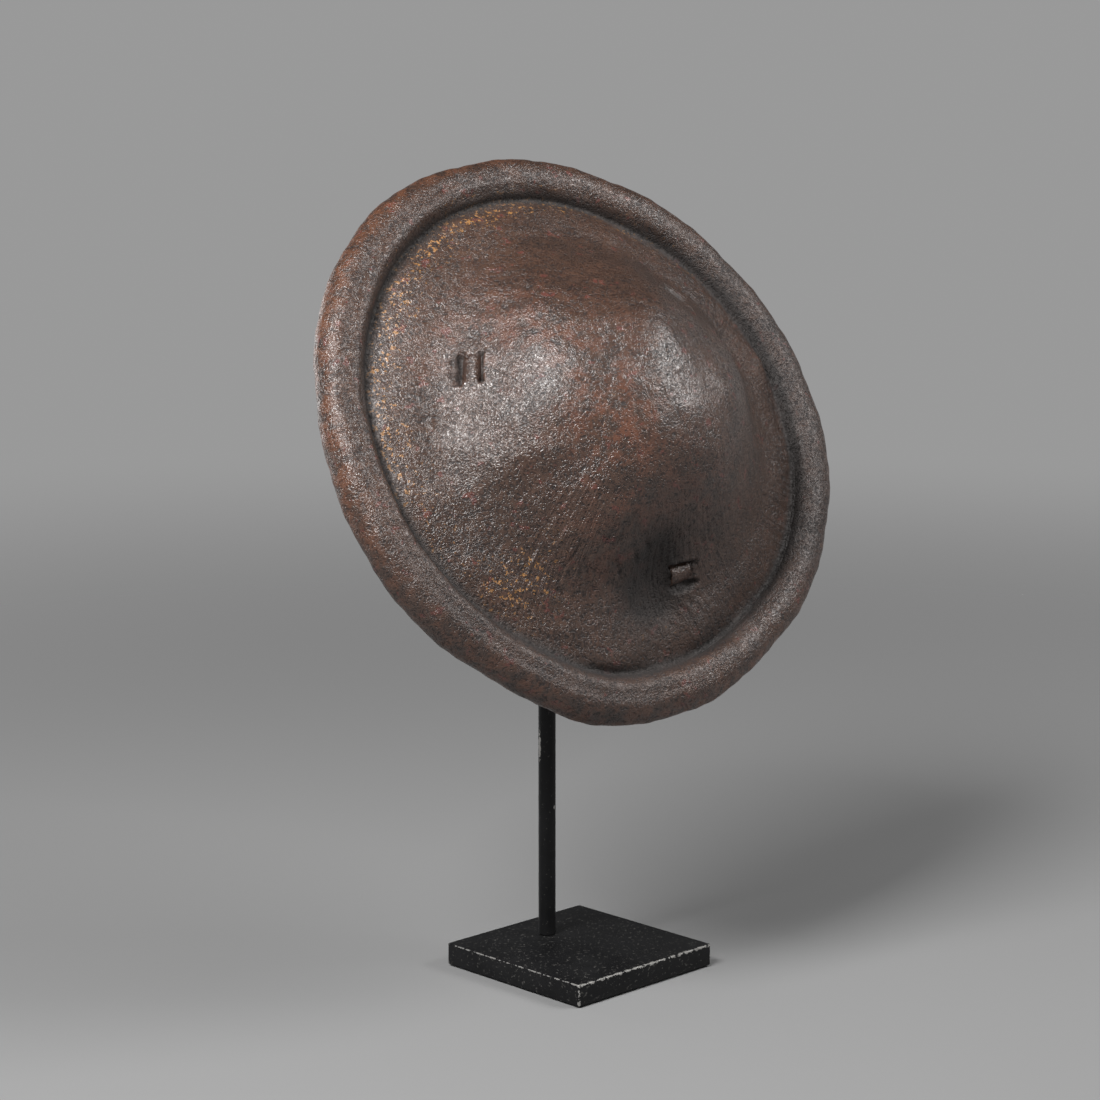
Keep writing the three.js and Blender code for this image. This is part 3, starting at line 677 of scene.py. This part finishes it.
def strap(name):
    """A flat strap carried along its bent line: hub tab, leg, up through the inner slit, over the
    bridge, back through the outer slit and a tail behind the leg."""
    degrees, radius, _ = ATTACHMENTS[name]
    hub, direction, behind, length = strap_leg(name)
    out, depth, across = strap_axes(degrees)
    over = surface_shift(name) - STRAP_SINKS[name]
    bend = hub + direction * length
    tail_bend = bend + behind * STRAP_STEP
    corners = [
        [-HUB_TAB, hub[1]],
        hub,
        bend,
        *(bridge_point(radius, top, over) for top in BRIDGE_TOPS[name]),
        bridge_point(radius, SLIT_PITCH / 2, -HIDE - STRAP_THICKNESS),
        tail_bend,
        tail_bend - direction * TAIL,
    ]
    line = filleted(corners, [6, 3.5, 2.6, OUTER_BEND[name], 3.5, 4], 1.6)
    normal = line_normals(line)
    run = np.concatenate([[0], np.cumsum(np.linalg.norm(np.diff(line, axis=0), axis=1))])
    wide, tall = superellipse(28, STRAP_WIDTH / 2 - 0.2, STRAP_THICKNESS / 2, 4)
    ragged = 1 + 0.018 * np.cos(run / 5.5) + 0.014 * np.cos(run / 2.3 + 1)
    path = line[:, :1] * out + line[:, 1:] * depth
    upward = normal[:, :1] * out + normal[:, 1:] * depth
    sideways = across * (wide * ragged[:, None])[..., None]
    vertices, faces = swept(path, sideways, upward[:, None] * tall[:, None])
    made = shield_piece(f"rawhide_{name}", vertices, faces)
    place_on_shield(made, vertices)
    return made


def leg_axes(name):
    """Directions across, over and along a strap's leg, and its start at the hub."""
    hub, direction, behind, _ = strap_leg(name)
    out, depth, _ = strap_axes(ATTACHMENTS[name][0])
    leg = direction[0] * out + direction[1] * depth
    over = -(behind[0] * out + behind[1] * depth)
    return (np.cross(over, leg), over, leg), hub[0] * out + hub[1] * depth


def leg_place(name, *offsets):
    """Offsets across, over and along a strap's leg to shield coordinates."""
    axes, start = leg_axes(name)
    return start + sum(np.asarray(v, float)[..., None] * axis for v, axis in zip(offsets, axes))


def even_loop(half_wide, half_tall, power, count):
    """A rounded rectangle resampled to even steps, as two arrays over one turn."""
    wide, tall = superellipse(2000, half_wide, half_tall, power)
    wide, tall = np.append(wide, wide[0]), np.append(tall, tall[0])
    run = np.concatenate([[0], np.cumsum(np.hypot(np.diff(wide), np.diff(tall)))])
    want = np.arange(count) / count * run[-1]
    return np.interp(want, run, wide), np.interp(want, run, tall)


def lashing(name):
    """A wound thong: a cord on a helix round the strap and its tail, with its ends tucked in."""
    steps = 56
    loop_wide, loop_tall = even_loop(*LASHING_HALVES, 6, steps)
    count = LASHING_TURNS * steps
    k = np.arange(count) % steps
    share = np.arange(count) / count
    tuck = 1 - 0.16 * (fading(share, 0, 0.03) + smoothstep(share, 0.97, 1))
    first = strap_leg(name)[3] - LASHING_GAP - LASHING_LENGTH + LASHING_CORD
    along = first + share * (LASHING_LENGTH - 2 * LASHING_CORD) + 0.18 * np.cos(share * 40)
    path = leg_place(name, loop_wide[k] * tuck, loop_tall[k] * tuck - STRAP_STEP / 2, along)
    guide = leg_axes(name)[0][2]
    return shield_piece(f"thong_{name}", *round_tube(path, LASHING_CORD, guide=guide))


def grip():
    """A leather sleeve with rounded ends round the lower strap, fuller in the middle by a sine,
    with a sunk seam and a row of stitches along its back."""
    rows, sides = 60, 64
    share = np.linspace(0, 1, rows)
    run = GRIP_START + share * GRIP_LENGTH
    end = np.minimum(share, 1 - share) * GRIP_LENGTH
    close = 1 - 0.42 * fading(end, -0.5, 3.2) ** 2
    full = ((0.93 + 0.07 * np.sin(share * math.pi)) * close)[:, None]
    wide, tall = superellipse(sides, *GRIP_HALVES, 2.8)
    seam = 1 - 0.09 * bell(wide - SEAM_SIDE, 1.1) * (tall < 0)
    full = full * (1 + 0.006 * np.cos(share[:, None] * 60 + 3 * np.sin(full_turn(sides))))
    path = leg_place("lower", 0, 0, run)
    body = leg_place("lower", wide * full, tall * seam * full, run[:, None])
    sleeve = shield_piece("grip_leather", *capped(body, path[0], path[-1]))
    bow = np.linspace(0, math.pi, 9)
    shapes = []
    for at in np.linspace(GRIP_START + 4, GRIP_START + GRIP_LENGTH - 4, 13):
        aside = SEAM_SIDE - 2.6 * np.cos(bow)
        stitch = leg_place("lower", aside, -7.2 - 0.75 * np.sin(bow), at + 0.5 * np.cos(bow))
        shapes.append(round_tube(stitch, 0.5, 8))
    return sleeve, shield_piece("grip_stitches", *joined(shapes))


def knot():
    """Two button knots on a shank: each is one cord round a ring, in and out five times in two
    laps, and the shank swells in its middle."""
    cord, ring_radius, clear = 1.35, 5.0, STRAP_THICKNESS / 2 + 1.9
    t = np.linspace(0, 2 * TAU, 241)[:-1]
    ring = ring_radius + 2.2 * np.cos(2.5 * t)
    low = HUB_DEPTH - clear
    high = HUB_DEPTH + 2 * STRAP_STEP + clear
    shapes = []
    for depth, sign in ((low, -1), (high, 1)):
        path = round_points(t, ring, depth + sign * 0.95 * np.sin(2.5 * t))
        shapes.append(round_tube(path, cord, closed=True))
    shank = np.linspace([0, 0, low - 0.8], [0, 0, high + 0.8], 12)
    swell = 2.4 + 0.5 * np.sin(np.linspace(0, math.pi, 12)) ** 8
    shapes.append(round_tube(shank, swell, 20, guide=(1, 0, 0)))
    return shield_piece("hub_thong", *joined(shapes))


# Rigid pieces.

FLAT_ANGLE = math.radians(0.5)
EDGE_ANGLE = math.radians(32)


def refined(node, name, bevel):
    """A copy of a CAD node with its points merged, its flat faces joined and its edges rounded."""
    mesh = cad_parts[node].data.copy()
    mesh.name = name
    mesh.materials.clear()
    work = bmesh.new()
    work.from_mesh(mesh)
    bmesh.ops.remove_doubles(work, verts=work.verts, dist=1e-6)
    bmesh.ops.dissolve_limit(work, angle_limit=FLAT_ANGLE, verts=work.verts, edges=work.edges)
    bmesh.ops.recalc_face_normals(work, faces=work.faces)
    work.to_mesh(mesh)
    work.free()
    mesh.shade_smooth()
    mesh.set_sharp_from_angle(angle=EDGE_ANGLE)
    made = linked(name, mesh)
    if bevel:
        rounding = made.modifiers.new("edge", "BEVEL")
        rounding.width = bevel * MM
        rounding.segments = 3
        rounding.limit_method = "ANGLE"
        rounding.angle_limit = EDGE_ANGLE
        rounding.harden_normals = True
    return made


# Materials.


def node(tree, kind, sockets=None, **settings):
    """Adds a shader node. sockets maps an input to another node's output, a number or a colour."""
    made = tree.nodes.new(kind)
    for key, value in settings.items():
        setattr(made, key, value)
    for key, value in (sockets or {}).items():
        socket = made.inputs[key]
        if isinstance(value, bpy.types.NodeSocket):
            tree.links.new(value, socket)
        else:
            socket.default_value = (*value, 1) if socket.type == "RGBA" else value
    return made


def calc(tree, operation, a, b=0.0, clamp=False):
    """One step of arithmetic."""
    sockets = {0: a, 1: b}
    return node(tree, "ShaderNodeMath", sockets, operation=operation, use_clamp=clamp).outputs[0]


def times(tree, a, b):
    return calc(tree, "MULTIPLY", a, b)


def plus(tree, a, b):
    return calc(tree, "ADD", a, b)


def rest_of(tree, whole, taken):
    """What is left of a whole, never under zero."""
    return calc(tree, "SUBTRACT", whole, taken, clamp=True)


def vectors(tree, operation, a, b=(0, 0, 0)):
    """One step of vector arithmetic. b is a number for SCALE, and LENGTH gives a number."""
    sockets = {0: a, 3 if operation == "SCALE" else 1: b}
    outputs = node(tree, "ShaderNodeVectorMath", sockets, operation=operation).outputs
    return outputs["Value" if operation == "LENGTH" else "Vector"]


def layered(tree, color, layers):
    """A colour with others laid over it one by one, each by its share."""
    for share, over in layers:
        sockets = {0: share, 6: color, 7: over}
        color = node(tree, "ShaderNodeMix", sockets, data_type="RGBA").outputs[2]
    return color


def ramp(tree, value, low, high, to_low=0.0, to_high=1.0):
    """Value mapped smoothly from low..high to to_low..to_high."""
    sockets = {0: value, 1: low, 2: high, 3: to_low, 4: to_high}
    return node(tree, "ShaderNodeMapRange", sockets, interpolation_type="SMOOTHSTEP").outputs[0]


def noise(tree, vector, scale, detail=2.0, rough=0.5):
    sockets = {"Vector": vector, "Scale": scale, "Detail": detail, "Roughness": rough}
    return node(tree, "ShaderNodeTexNoise", sockets).outputs[0]


def object_place(tree):
    return node(tree, "ShaderNodeTexCoord").outputs["Object"]


def attribute(tree, name, output="Fac"):
    return node(tree, "ShaderNodeAttribute", attribute_name=name).outputs[output]


def bumped(tree, height, distance):
    return node(tree, "ShaderNodeBump", {"Height": height, "Distance": distance}).outputs[0]


def new_group(name, inputs, outputs):
    """An empty shader group with its sockets. inputs maps a name to a number or, for a vector,
    to three, and outputs names values."""
    group = bpy.data.node_groups.new(name, "ShaderNodeTree")
    for key, value in inputs.items():
        kind = "NodeSocketVector" if isinstance(value, tuple) else "NodeSocketFloat"
        socket = group.interface.new_socket(name=key, in_out="INPUT", socket_type=kind)
        socket.default_value = value
    for key in outputs:
        group.interface.new_socket(name=key, in_out="OUTPUT", socket_type="NodeSocketFloat")
    given = group.nodes.new("NodeGroupInput").outputs
    return group, given, group.nodes.new("NodeGroupOutput").inputs


def leather_grain_group():
    """Hide grain: short wandering ridges where a warped noise crosses its middle, over finer noise.
    Ridge is 1 along the ridges and 0 between them, and Height adds the fine unevenness."""
    inputs = {"Vector": (0, 0, 0), "Scale": 420.0, "Warp": 0.0016}
    group, given, out = new_group("leather_grain", inputs, ["Height", "Ridge"])
    place, scale = given["Vector"], given["Scale"]
    sockets = {"Vector": place, "Scale": times(group, scale, 0.6), "Detail": 0.0}
    drift = node(group, "ShaderNodeTexNoise", sockets).outputs["Color"]
    warped = vectors(group, "ADD", place, vectors(group, "SCALE", drift, given["Warp"]))
    main = noise(group, warped, scale, 2.0, 0.7)
    away = calc(group, "ABSOLUTE", calc(group, "SUBTRACT", main, 0.5))
    ridge = rest_of(group, 1.0, times(group, away, 5.0))
    fine = noise(group, place, times(group, scale, 2.3), 1.0)
    height = plus(group, times(group, ridge, 0.8), times(group, fine, 0.5))
    group.links.new(height, out["Height"])
    group.links.new(ridge, out["Ridge"])
    return group


def flecks_group():
    """Irregular flecks: the peaks of a rough noise, more of them where Density is higher."""
    inputs = {"Vector": (0, 0, 0), "Scale": 300.0, "Density": 0.5}
    group, given, out = new_group("flecks", inputs, ["Mask"])
    rough = noise(group, given["Vector"], given["Scale"], 2.0, 0.75)
    raised = plus(group, rough, times(group, given["Density"], 0.2))
    group.links.new(ramp(group, raised, 0.7, 0.75), out["Mask"])
    return group


def line_wear_group():
    """Wear near a straight edge through Point: full on the edge, ragged by noise and none past
    about Reach. Measured is 0 along the edge and 1 on the other two axes."""
    inputs = {"Vector": (0, 0, 0), "Point": (0, 0, 0), "Measured": (1, 1, 1), "Reach": 0.001}
    group, given, out = new_group("line_wear", inputs, ["Mask"])
    away = vectors(group, "SUBTRACT", given["Vector"], given["Point"])
    length = vectors(group, "LENGTH", vectors(group, "MULTIPLY", away, given["Measured"]))
    ragged = noise(group, given["Vector"], 260.0, 4.0, 0.7)
    reach = times(group, given["Reach"], ramp(group, ragged, 0.36, 0.62, 0.0, 1.4))
    group.links.new(calc(group, "LESS_THAN", length, reach), out["Mask"])
    return group


GRAIN = leather_grain_group()
FLECKS = flecks_group()
LINE_WEAR = line_wear_group()


def grouped(tree, group, **sockets):
    """Places a shader group in a material and returns its outputs."""
    return node(tree, "ShaderNodeGroup", sockets, node_tree=group).outputs


def new_material(name):
    """An empty material and its node tree."""
    material = bpy.data.materials.new(name)
    material.use_nodes = True
    material.node_tree.nodes.clear()
    return material, material.node_tree


def principled(tree, sockets):
    """Ends a material: its shader, with plain values on their own sockets, and the output."""
    shader = node(tree, "ShaderNodeBsdfPrincipled", sockets)
    node(tree, "ShaderNodeOutputMaterial", {"Surface": shader.outputs[0]})


def hide_material():
    """Old dark hide: brown grain with painted shade in its hollows and lighter worn ridges that are
    partly a painted highlight, red and rust wear, ochre flecks, painted shade in the groove, pit,
    slits and strap bed and on the rim's shaded side, and a thin worn gloss on the ridges of the
    grain."""
    material, tree = new_material("hide")
    place = attribute(tree, "shield", "Vector")
    names = ("polish", "crown", "folds", "beads", "inside", "crease", "red", "rust", "ochre")
    masks = [attribute(tree, name) for name in names]
    polish, crown, folds, beads, inside, crease, red, rust, ochre = masks
    grains = grouped(tree, GRAIN, Vector=place, Scale=330.0, Warp=0.003)
    ridge = grains["Ridge"]
    broad = noise(tree, place, 24.0, 3.0, 0.6)
    mottle = noise(tree, place, 110.0, 3.0, 0.65)
    worn = ramp(tree, noise(tree, place, 80.0, 3.0, 0.7), 0.42, 0.64)
    spots = grouped(tree, FLECKS, Vector=place, Scale=95.0, Density=0.32)["Mask"]
    thick = times(tree, ochre, 0.62)
    flecks = grouped(tree, FLECKS, Vector=place, Scale=300.0, Density=thick)["Mask"]
    layers = [
        (ramp(tree, broad, 0.36, 0.66), (0.044, 0.019, 0.011)),
        (ramp(tree, mottle, 0.48, 0.72, 0.0, 0.6), (0.085, 0.041, 0.026)),
        (times(tree, red, worn), (0.130, 0.042, 0.020)),
        (times(tree, rust, ramp(tree, mottle, 0.38, 0.6)), (0.120, 0.042, 0.018)),
        (times(tree, spots, 0.5), (0.16, 0.030, 0.024)),
        (times(tree, flecks, ochre), (0.40, 0.19, 0.055)),
        # Lighter worn tops of the grain ridges, partly a painted highlight where they catch the
        # light.
        (times(tree, ramp(tree, ridge, 0.5, 1.0), 0.28), (0.17, 0.108, 0.080)),
        # Painted shade in the hollows of the grain.
        (rest_of(tree, 0.75, times(tree, ridge, 1.1)), (0.007, 0.004, 0.0035)),
        # Near-black painted shade where crease is: groove, pit, slits, strap bed and the rim's
        # shaded side.
        (times(tree, crease, 0.85), (0.006, 0.0045, 0.004)),
        (times(tree, inside, 0.7), (0.15, 0.095, 0.060)),
    ]
    rough = ramp(tree, ridge, 0.0, 1.0, 0.58, 0.25)
    for mask, change in ((polish, -0.10), (inside, 0.25), (crease, 0.4)):
        rough = plus(tree, rough, times(tree, mask, change))
    gloss = plus(tree, times(tree, polish, 0.30), 0.10)
    gloss = times(tree, ramp(tree, ridge, 0.1, 0.55), gloss)
    bare = rest_of(tree, 1.0, calc(tree, "MAXIMUM", inside, crease))

    curled = {"Vector": attribute(tree, "polar", "Vector"), "Scale": (44, 44, 14)}
    across = noise(tree, node(tree, "ShaderNodeMapping", curled).outputs[0], 1.0, 1.0, 0.6)
    rows = times(tree, across, calc(tree, "MAXIMUM", folds, beads))
    pits = times(tree, ramp(tree, noise(tree, place, 330.0, 1.0), 0.42, 0.58), crown)
    relief = plus(tree, times(tree, polish, -0.00023), 0.00048)
    height = plus(tree, times(tree, grains["Height"], relief), times(tree, rows, 0.0014))
    height = plus(tree, height, times(tree, pits, 0.0008))
    principled(tree, {
        "Base Color": layered(tree, (0.020, 0.009, 0.006), layers),
        "Roughness": rough,
        "Specular IOR Level": 0.7,
        "Coat Weight": times(tree, gloss, bare),
        "Coat Roughness": 0.42,
        "Coat IOR": 1.7,
        "Normal": bumped(tree, height, 1.0),
    })
    return material


def leather_material(name, color, dark, rough, scale, relief):
    """Plain leather: two browns by mottle, darker in its hollows."""
    material, tree = new_material(name)
    place = object_place(tree)
    pattern = grouped(tree, GRAIN, Vector=place, Scale=scale, Warp=0.8 / scale)
    mottle = noise(tree, place, 90.0, 3.0, 0.6)
    hollow = rest_of(tree, 0.7, times(tree, pattern["Ridge"], 0.9))
    layers = [(ramp(tree, mottle, 0.35, 0.68), color), (hollow, dark)]
    principled(tree, {
        "Base Color": layered(tree, dark, layers),
        "Roughness": ramp(tree, mottle, 0.3, 0.7, rough - 0.06, rough + 0.08),
        "Normal": bumped(tree, pattern["Height"], relief),
    })
    return material


def steel_material(name, edges=(), chips=(), dust=0.3):
    """Satin black paint with a faint orange peel, dust on top, and bare metal on worn edges and in
    chips. A chip is a ragged ellipsoid, given by its centre and radii."""
    material, tree = new_material(name)
    place = object_place(tree)
    cloud = noise(tree, place, 35.0, 4.0, 0.6)
    specks = grouped(tree, FLECKS, Vector=place, Scale=420.0, Density=dust)["Mask"]
    layers = [
        (ramp(tree, cloud, 0.35, 0.7), (0.0085, 0.0085, 0.009)),
        (times(tree, specks, 0.25), (0.25, 0.24, 0.22)),
    ]
    masks = [grouped(tree, LINE_WEAR, Vector=place, **edge)["Mask"] for edge in edges]
    for centre, radii in chips:
        away = vectors(tree, "DIVIDE", vectors(tree, "SUBTRACT", place, centre), radii)
        ragged = ramp(tree, noise(tree, place, 500.0, 3.0, 0.6), 0.3, 0.7, 0.4, 1.2)
        masks.append(calc(tree, "LESS_THAN", vectors(tree, "LENGTH", away), ragged))
    metallic = 0.0
    if masks:
        bare = masks[0]
        for mask in masks[1:]:
            bare = calc(tree, "MAXIMUM", bare, mask)
        layers.append((bare, (0.42, 0.41, 0.39)))
        metallic = times(tree, bare, 0.8)
    principled(tree, {
        "Base Color": layered(tree, (0.0045, 0.0045, 0.005), layers),
        "Metallic": metallic,
        "Roughness": ramp(tree, cloud, 0.3, 0.7, 0.46, 0.56),
        "Specular IOR Level": 0.22,
        "Normal": bumped(tree, noise(tree, place, 900.0), 0.00006),
    })
    return material


def plain_material(name, color, other, rough, scale, relief, metallic=0.0):
    """One finish whose colour and surface vary a little with fine noise."""
    material, tree = new_material(name)
    vary = noise(tree, object_place(tree), scale, 4.0, 0.6)
    principled(tree, {
        "Base Color": layered(tree, color, [(ramp(tree, vary, 0.35, 0.68), other)]),
        "Metallic": metallic,
        "Roughness": ramp(tree, vary, 0.3, 0.7, rough - 0.05, rough + 0.05),
        "Normal": bumped(tree, vary, relief),
    })
    return material


# Making the pieces.


def dress(piece, material, body, slot, *nodes):
    """Gives a piece its finish, the body it rides on and the CAD nodes it replaces."""
    piece.data.materials.clear()
    piece.data.materials.append(material)
    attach(piece, body)
    if nodes:
        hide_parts(*nodes)


EDGE = PLATE_HALF * MM
TOP = PLATE_TOP * MM
PLATE_EDGES = [
    {"Point": (0, -EDGE, TOP), "Measured": (0, 1, 1), "Reach": 0.0013},
    {"Point": (-EDGE, -EDGE, 0), "Measured": (1, 1, 0), "Reach": 0.0012},
    {"Point": (EDGE, -EDGE, 0), "Measured": (1, 1, 0), "Reach": 0.0012},
    {"Point": (-EDGE, 0, TOP), "Measured": (1, 0, 1), "Reach": 0.0006},
]
POST_CHIPS = [
    ((-0.0058, 0.0335, 0.153), (0.003, 0.0016, 0.012)),
    ((0.0016, 0.0262, 0.1087), (0.0012, 0.0012, 0.0014)),
]

hide_finish = hide_material()
thong_finish = leather_material(
    "thong", (0.085, 0.05, 0.03), (0.03, 0.018, 0.012), rough=0.6, scale=1400.0, relief=0.0002
)
grip_finish = leather_material(
    "grip", (0.075, 0.042, 0.027), (0.026, 0.016, 0.011), rough=0.48, scale=800.0, relief=0.0004
)
plate_finish = steel_material("plate_paint", edges=PLATE_EDGES, dust=0.4)
post_finish = steel_material("post_paint", chips=POST_CHIPS, dust=0.2)
steel_finish = steel_material("mount_paint", dust=0.25)
zinc_finish = plain_material(
    "zinc", (0.42, 0.42, 0.43), (0.5, 0.5, 0.5), 0.35, 300.0, 0.00003, metallic=1.0
)
felt_finish = plain_material(
    "felt", (0.012, 0.012, 0.014), (0.03, 0.03, 0.033), 0.95, 1500.0, 0.0003
)
rubber_finish = plain_material(
    "soft_rubber", (0.012, 0.012, 0.012), (0.02, 0.02, 0.02), 0.7, 500.0, 0.00006
)

dress(hide_shell(), hide_finish, "shield", "hide", "hide_shell")
for side in ATTACHMENTS:
    dress(strap(side), hide_finish, "shield", "rawhide_strap", f"strap_{side}")
    dress(lashing(side), thong_finish, "shield", "leather_thong", f"lashing_{side}")
sleeve, stitches = grip()
dress(sleeve, grip_finish, "shield", "leather_thong", "grip_sleeve")
dress(stitches, thong_finish, "shield", "leather_thong")
dress(knot(), thong_finish, "shield", "leather_thong", "hub_knot")


def right_and_left(cad_name, name):
    return [(f"{cad_name}_{side}", f"{name}_{side}", 0.15) for side in ("right", "left")]


# The node, the piece's name and how far its edges are rounded, for each finish, body and slot.
RIGID = [
    (plate_finish, "stand", "black_steel", [("base_plate", "plate", 0.25)]),
    (post_finish, "stand", "black_steel", [("post", "post_rod", 0.15)]),
    (steel_finish, "stand", "black_steel", [
        ("post_collar", "collar", 0.25),
        ("locking_screw", "lock_knob", 0.2),
    ]),
    (zinc_finish, "stand", "zinc_steel", [("base_screw", "foot_screw", 0.1)]),
    (felt_finish, "stand", "felt", [("felt_underlay", "felt_sheet", 0.0)]),
    (steel_finish, "mount", "black_steel", [
        ("mount_stem", "stem", 0.2),
        ("spine_bar", "spine", 0.4),
        ("hook_bar", "hook_strip", 0.3),
        ("foot_bar", "foot_strip", 0.3),
        *right_and_left("prong", "prong_rod"),
        *right_and_left("arm", "arm_rod"),
    ]),
    (rubber_finish, "mount", "soft_rubber", [
        *right_and_left("prong_sleeve", "sleeve"),
        *right_and_left("arm_pad", "pad"),
    ]),
]
for finish, body, slot_name, pieces in RIGID:
    for cad_name, name, bevel in pieces:
        dress(refined(cad_name, name, bevel), finish, body, slot_name, cad_name)


# Stage, lights and camera.

LIGHTS_AIM = (0, 0, 0.36)


def floor_disc():
    """A round floor that fades out to the world's colour with distance."""
    sides = 96
    rings = np.array([0.4, 1.0, 2.0, 3.2])
    points = round_points(full_turn(sides), rings[:, None], 0)
    vertices = np.vstack([points.reshape(-1, 3), [[0, 0, 0]]])
    faces = ring_faces(len(rings), sides) + fan_faces(len(rings) * sides, 0, sides, True)
    made = make_object("floor", vertices, faces)
    material, tree = new_material("floor")
    fade = ramp(tree, vectors(tree, "LENGTH", object_place(tree)), 0.5, 2.6)
    paint = node(tree, "ShaderNodeBsdfDiffuse", {"Color": (0.26, 0.26, 0.26)}).outputs[0]
    clear = node(tree, "ShaderNodeBsdfTransparent").outputs[0]
    mixed = node(tree, "ShaderNodeMixShader", {0: fade, 1: paint, 2: clear}).outputs[0]
    node(tree, "ShaderNodeOutputMaterial", {"Surface": mixed})
    made.data.materials.append(material)


def world_light(strength, seen):
    """A pale world that the camera sees at one level, darker high up, and the object is lit by at
    a lower one."""
    world = bpy.data.worlds.new("studio")
    bpy.context.scene.world = world
    world.use_nodes = True
    tree = world.node_tree
    tree.nodes.clear()
    path = node(tree, "ShaderNodeLightPath").outputs
    seen_by = plus(tree, path["Is Camera Ray"], path["Is Glossy Ray"])
    seen_by = calc(tree, "ADD", seen_by, path["Is Transmission Ray"], clamp=True)
    direction = node(tree, "ShaderNodeTexCoord").outputs["Generated"]
    rise = node(tree, "ShaderNodeSeparateXYZ", {0: direction}).outputs[2]
    shown = ramp(tree, rise, 0.17, 0.30, seen, 0.04)
    level = node(tree, "ShaderNodeMix", {0: seen_by, 2: strength, 3: shown}).outputs[0]
    light = node(tree, "ShaderNodeBackground", {"Color": (1, 1, 1), "Strength": level})
    node(tree, "ShaderNodeOutputWorld", {"Surface": light.outputs[0]})


def softbox(name, direction, distance, width, height, power):
    """An area light that looks at the shield's centre and isn't seen itself."""
    lamp = bpy.data.lights.new(name, "AREA")
    lamp.shape = "RECTANGLE"
    lamp.size, lamp.size_y = width, height
    lamp.energy = power
    made = linked(name, lamp)
    aim = Vector(direction).normalized()
    made.location = Vector(LIGHTS_AIM) + aim * distance
    made.rotation_euler = aim.to_track_quat("Z", "Y").to_euler()
    made.visible_camera = False


def set_camera():
    """The camera where its fit to the photograph puts it, turned by azimuth and pitch."""
    camera = bpy.data.cameras.new("camera")
    camera.lens = LENS
    camera.sensor_width = SENSOR
    camera.sensor_fit = "HORIZONTAL"
    camera.clip_end = 100
    made = linked("camera", camera)
    b, e = CAMERA_AZIMUTH, CAMERA_PITCH
    back = Vector((math.sin(b) * math.cos(e), -math.cos(b) * math.cos(e), math.sin(e)))
    right = Vector((math.cos(b), math.sin(b), 0))
    turn = Matrix((right, back.cross(right), back)).transposed()
    made.matrix_world = Matrix.Translation(CAMERA_PLACE) @ turn.to_4x4()
    bpy.context.scene.camera = made


floor_disc()
world_light(0.11, 0.32)
softbox("key", (-0.70, -0.13, 0.70), 1.9, 0.75, 0.75, 56)
softbox("top", (0.50, -0.60, 0.62), 1.9, 0.9, 0.9, 24)
softbox("back", (-0.03, 1.0, 0.05), 2.6, 1.6, 0.8, 13)
set_camera()
bpy.context.scene.view_settings.view_transform = "Standard"

bpy.context.view_layer.update()
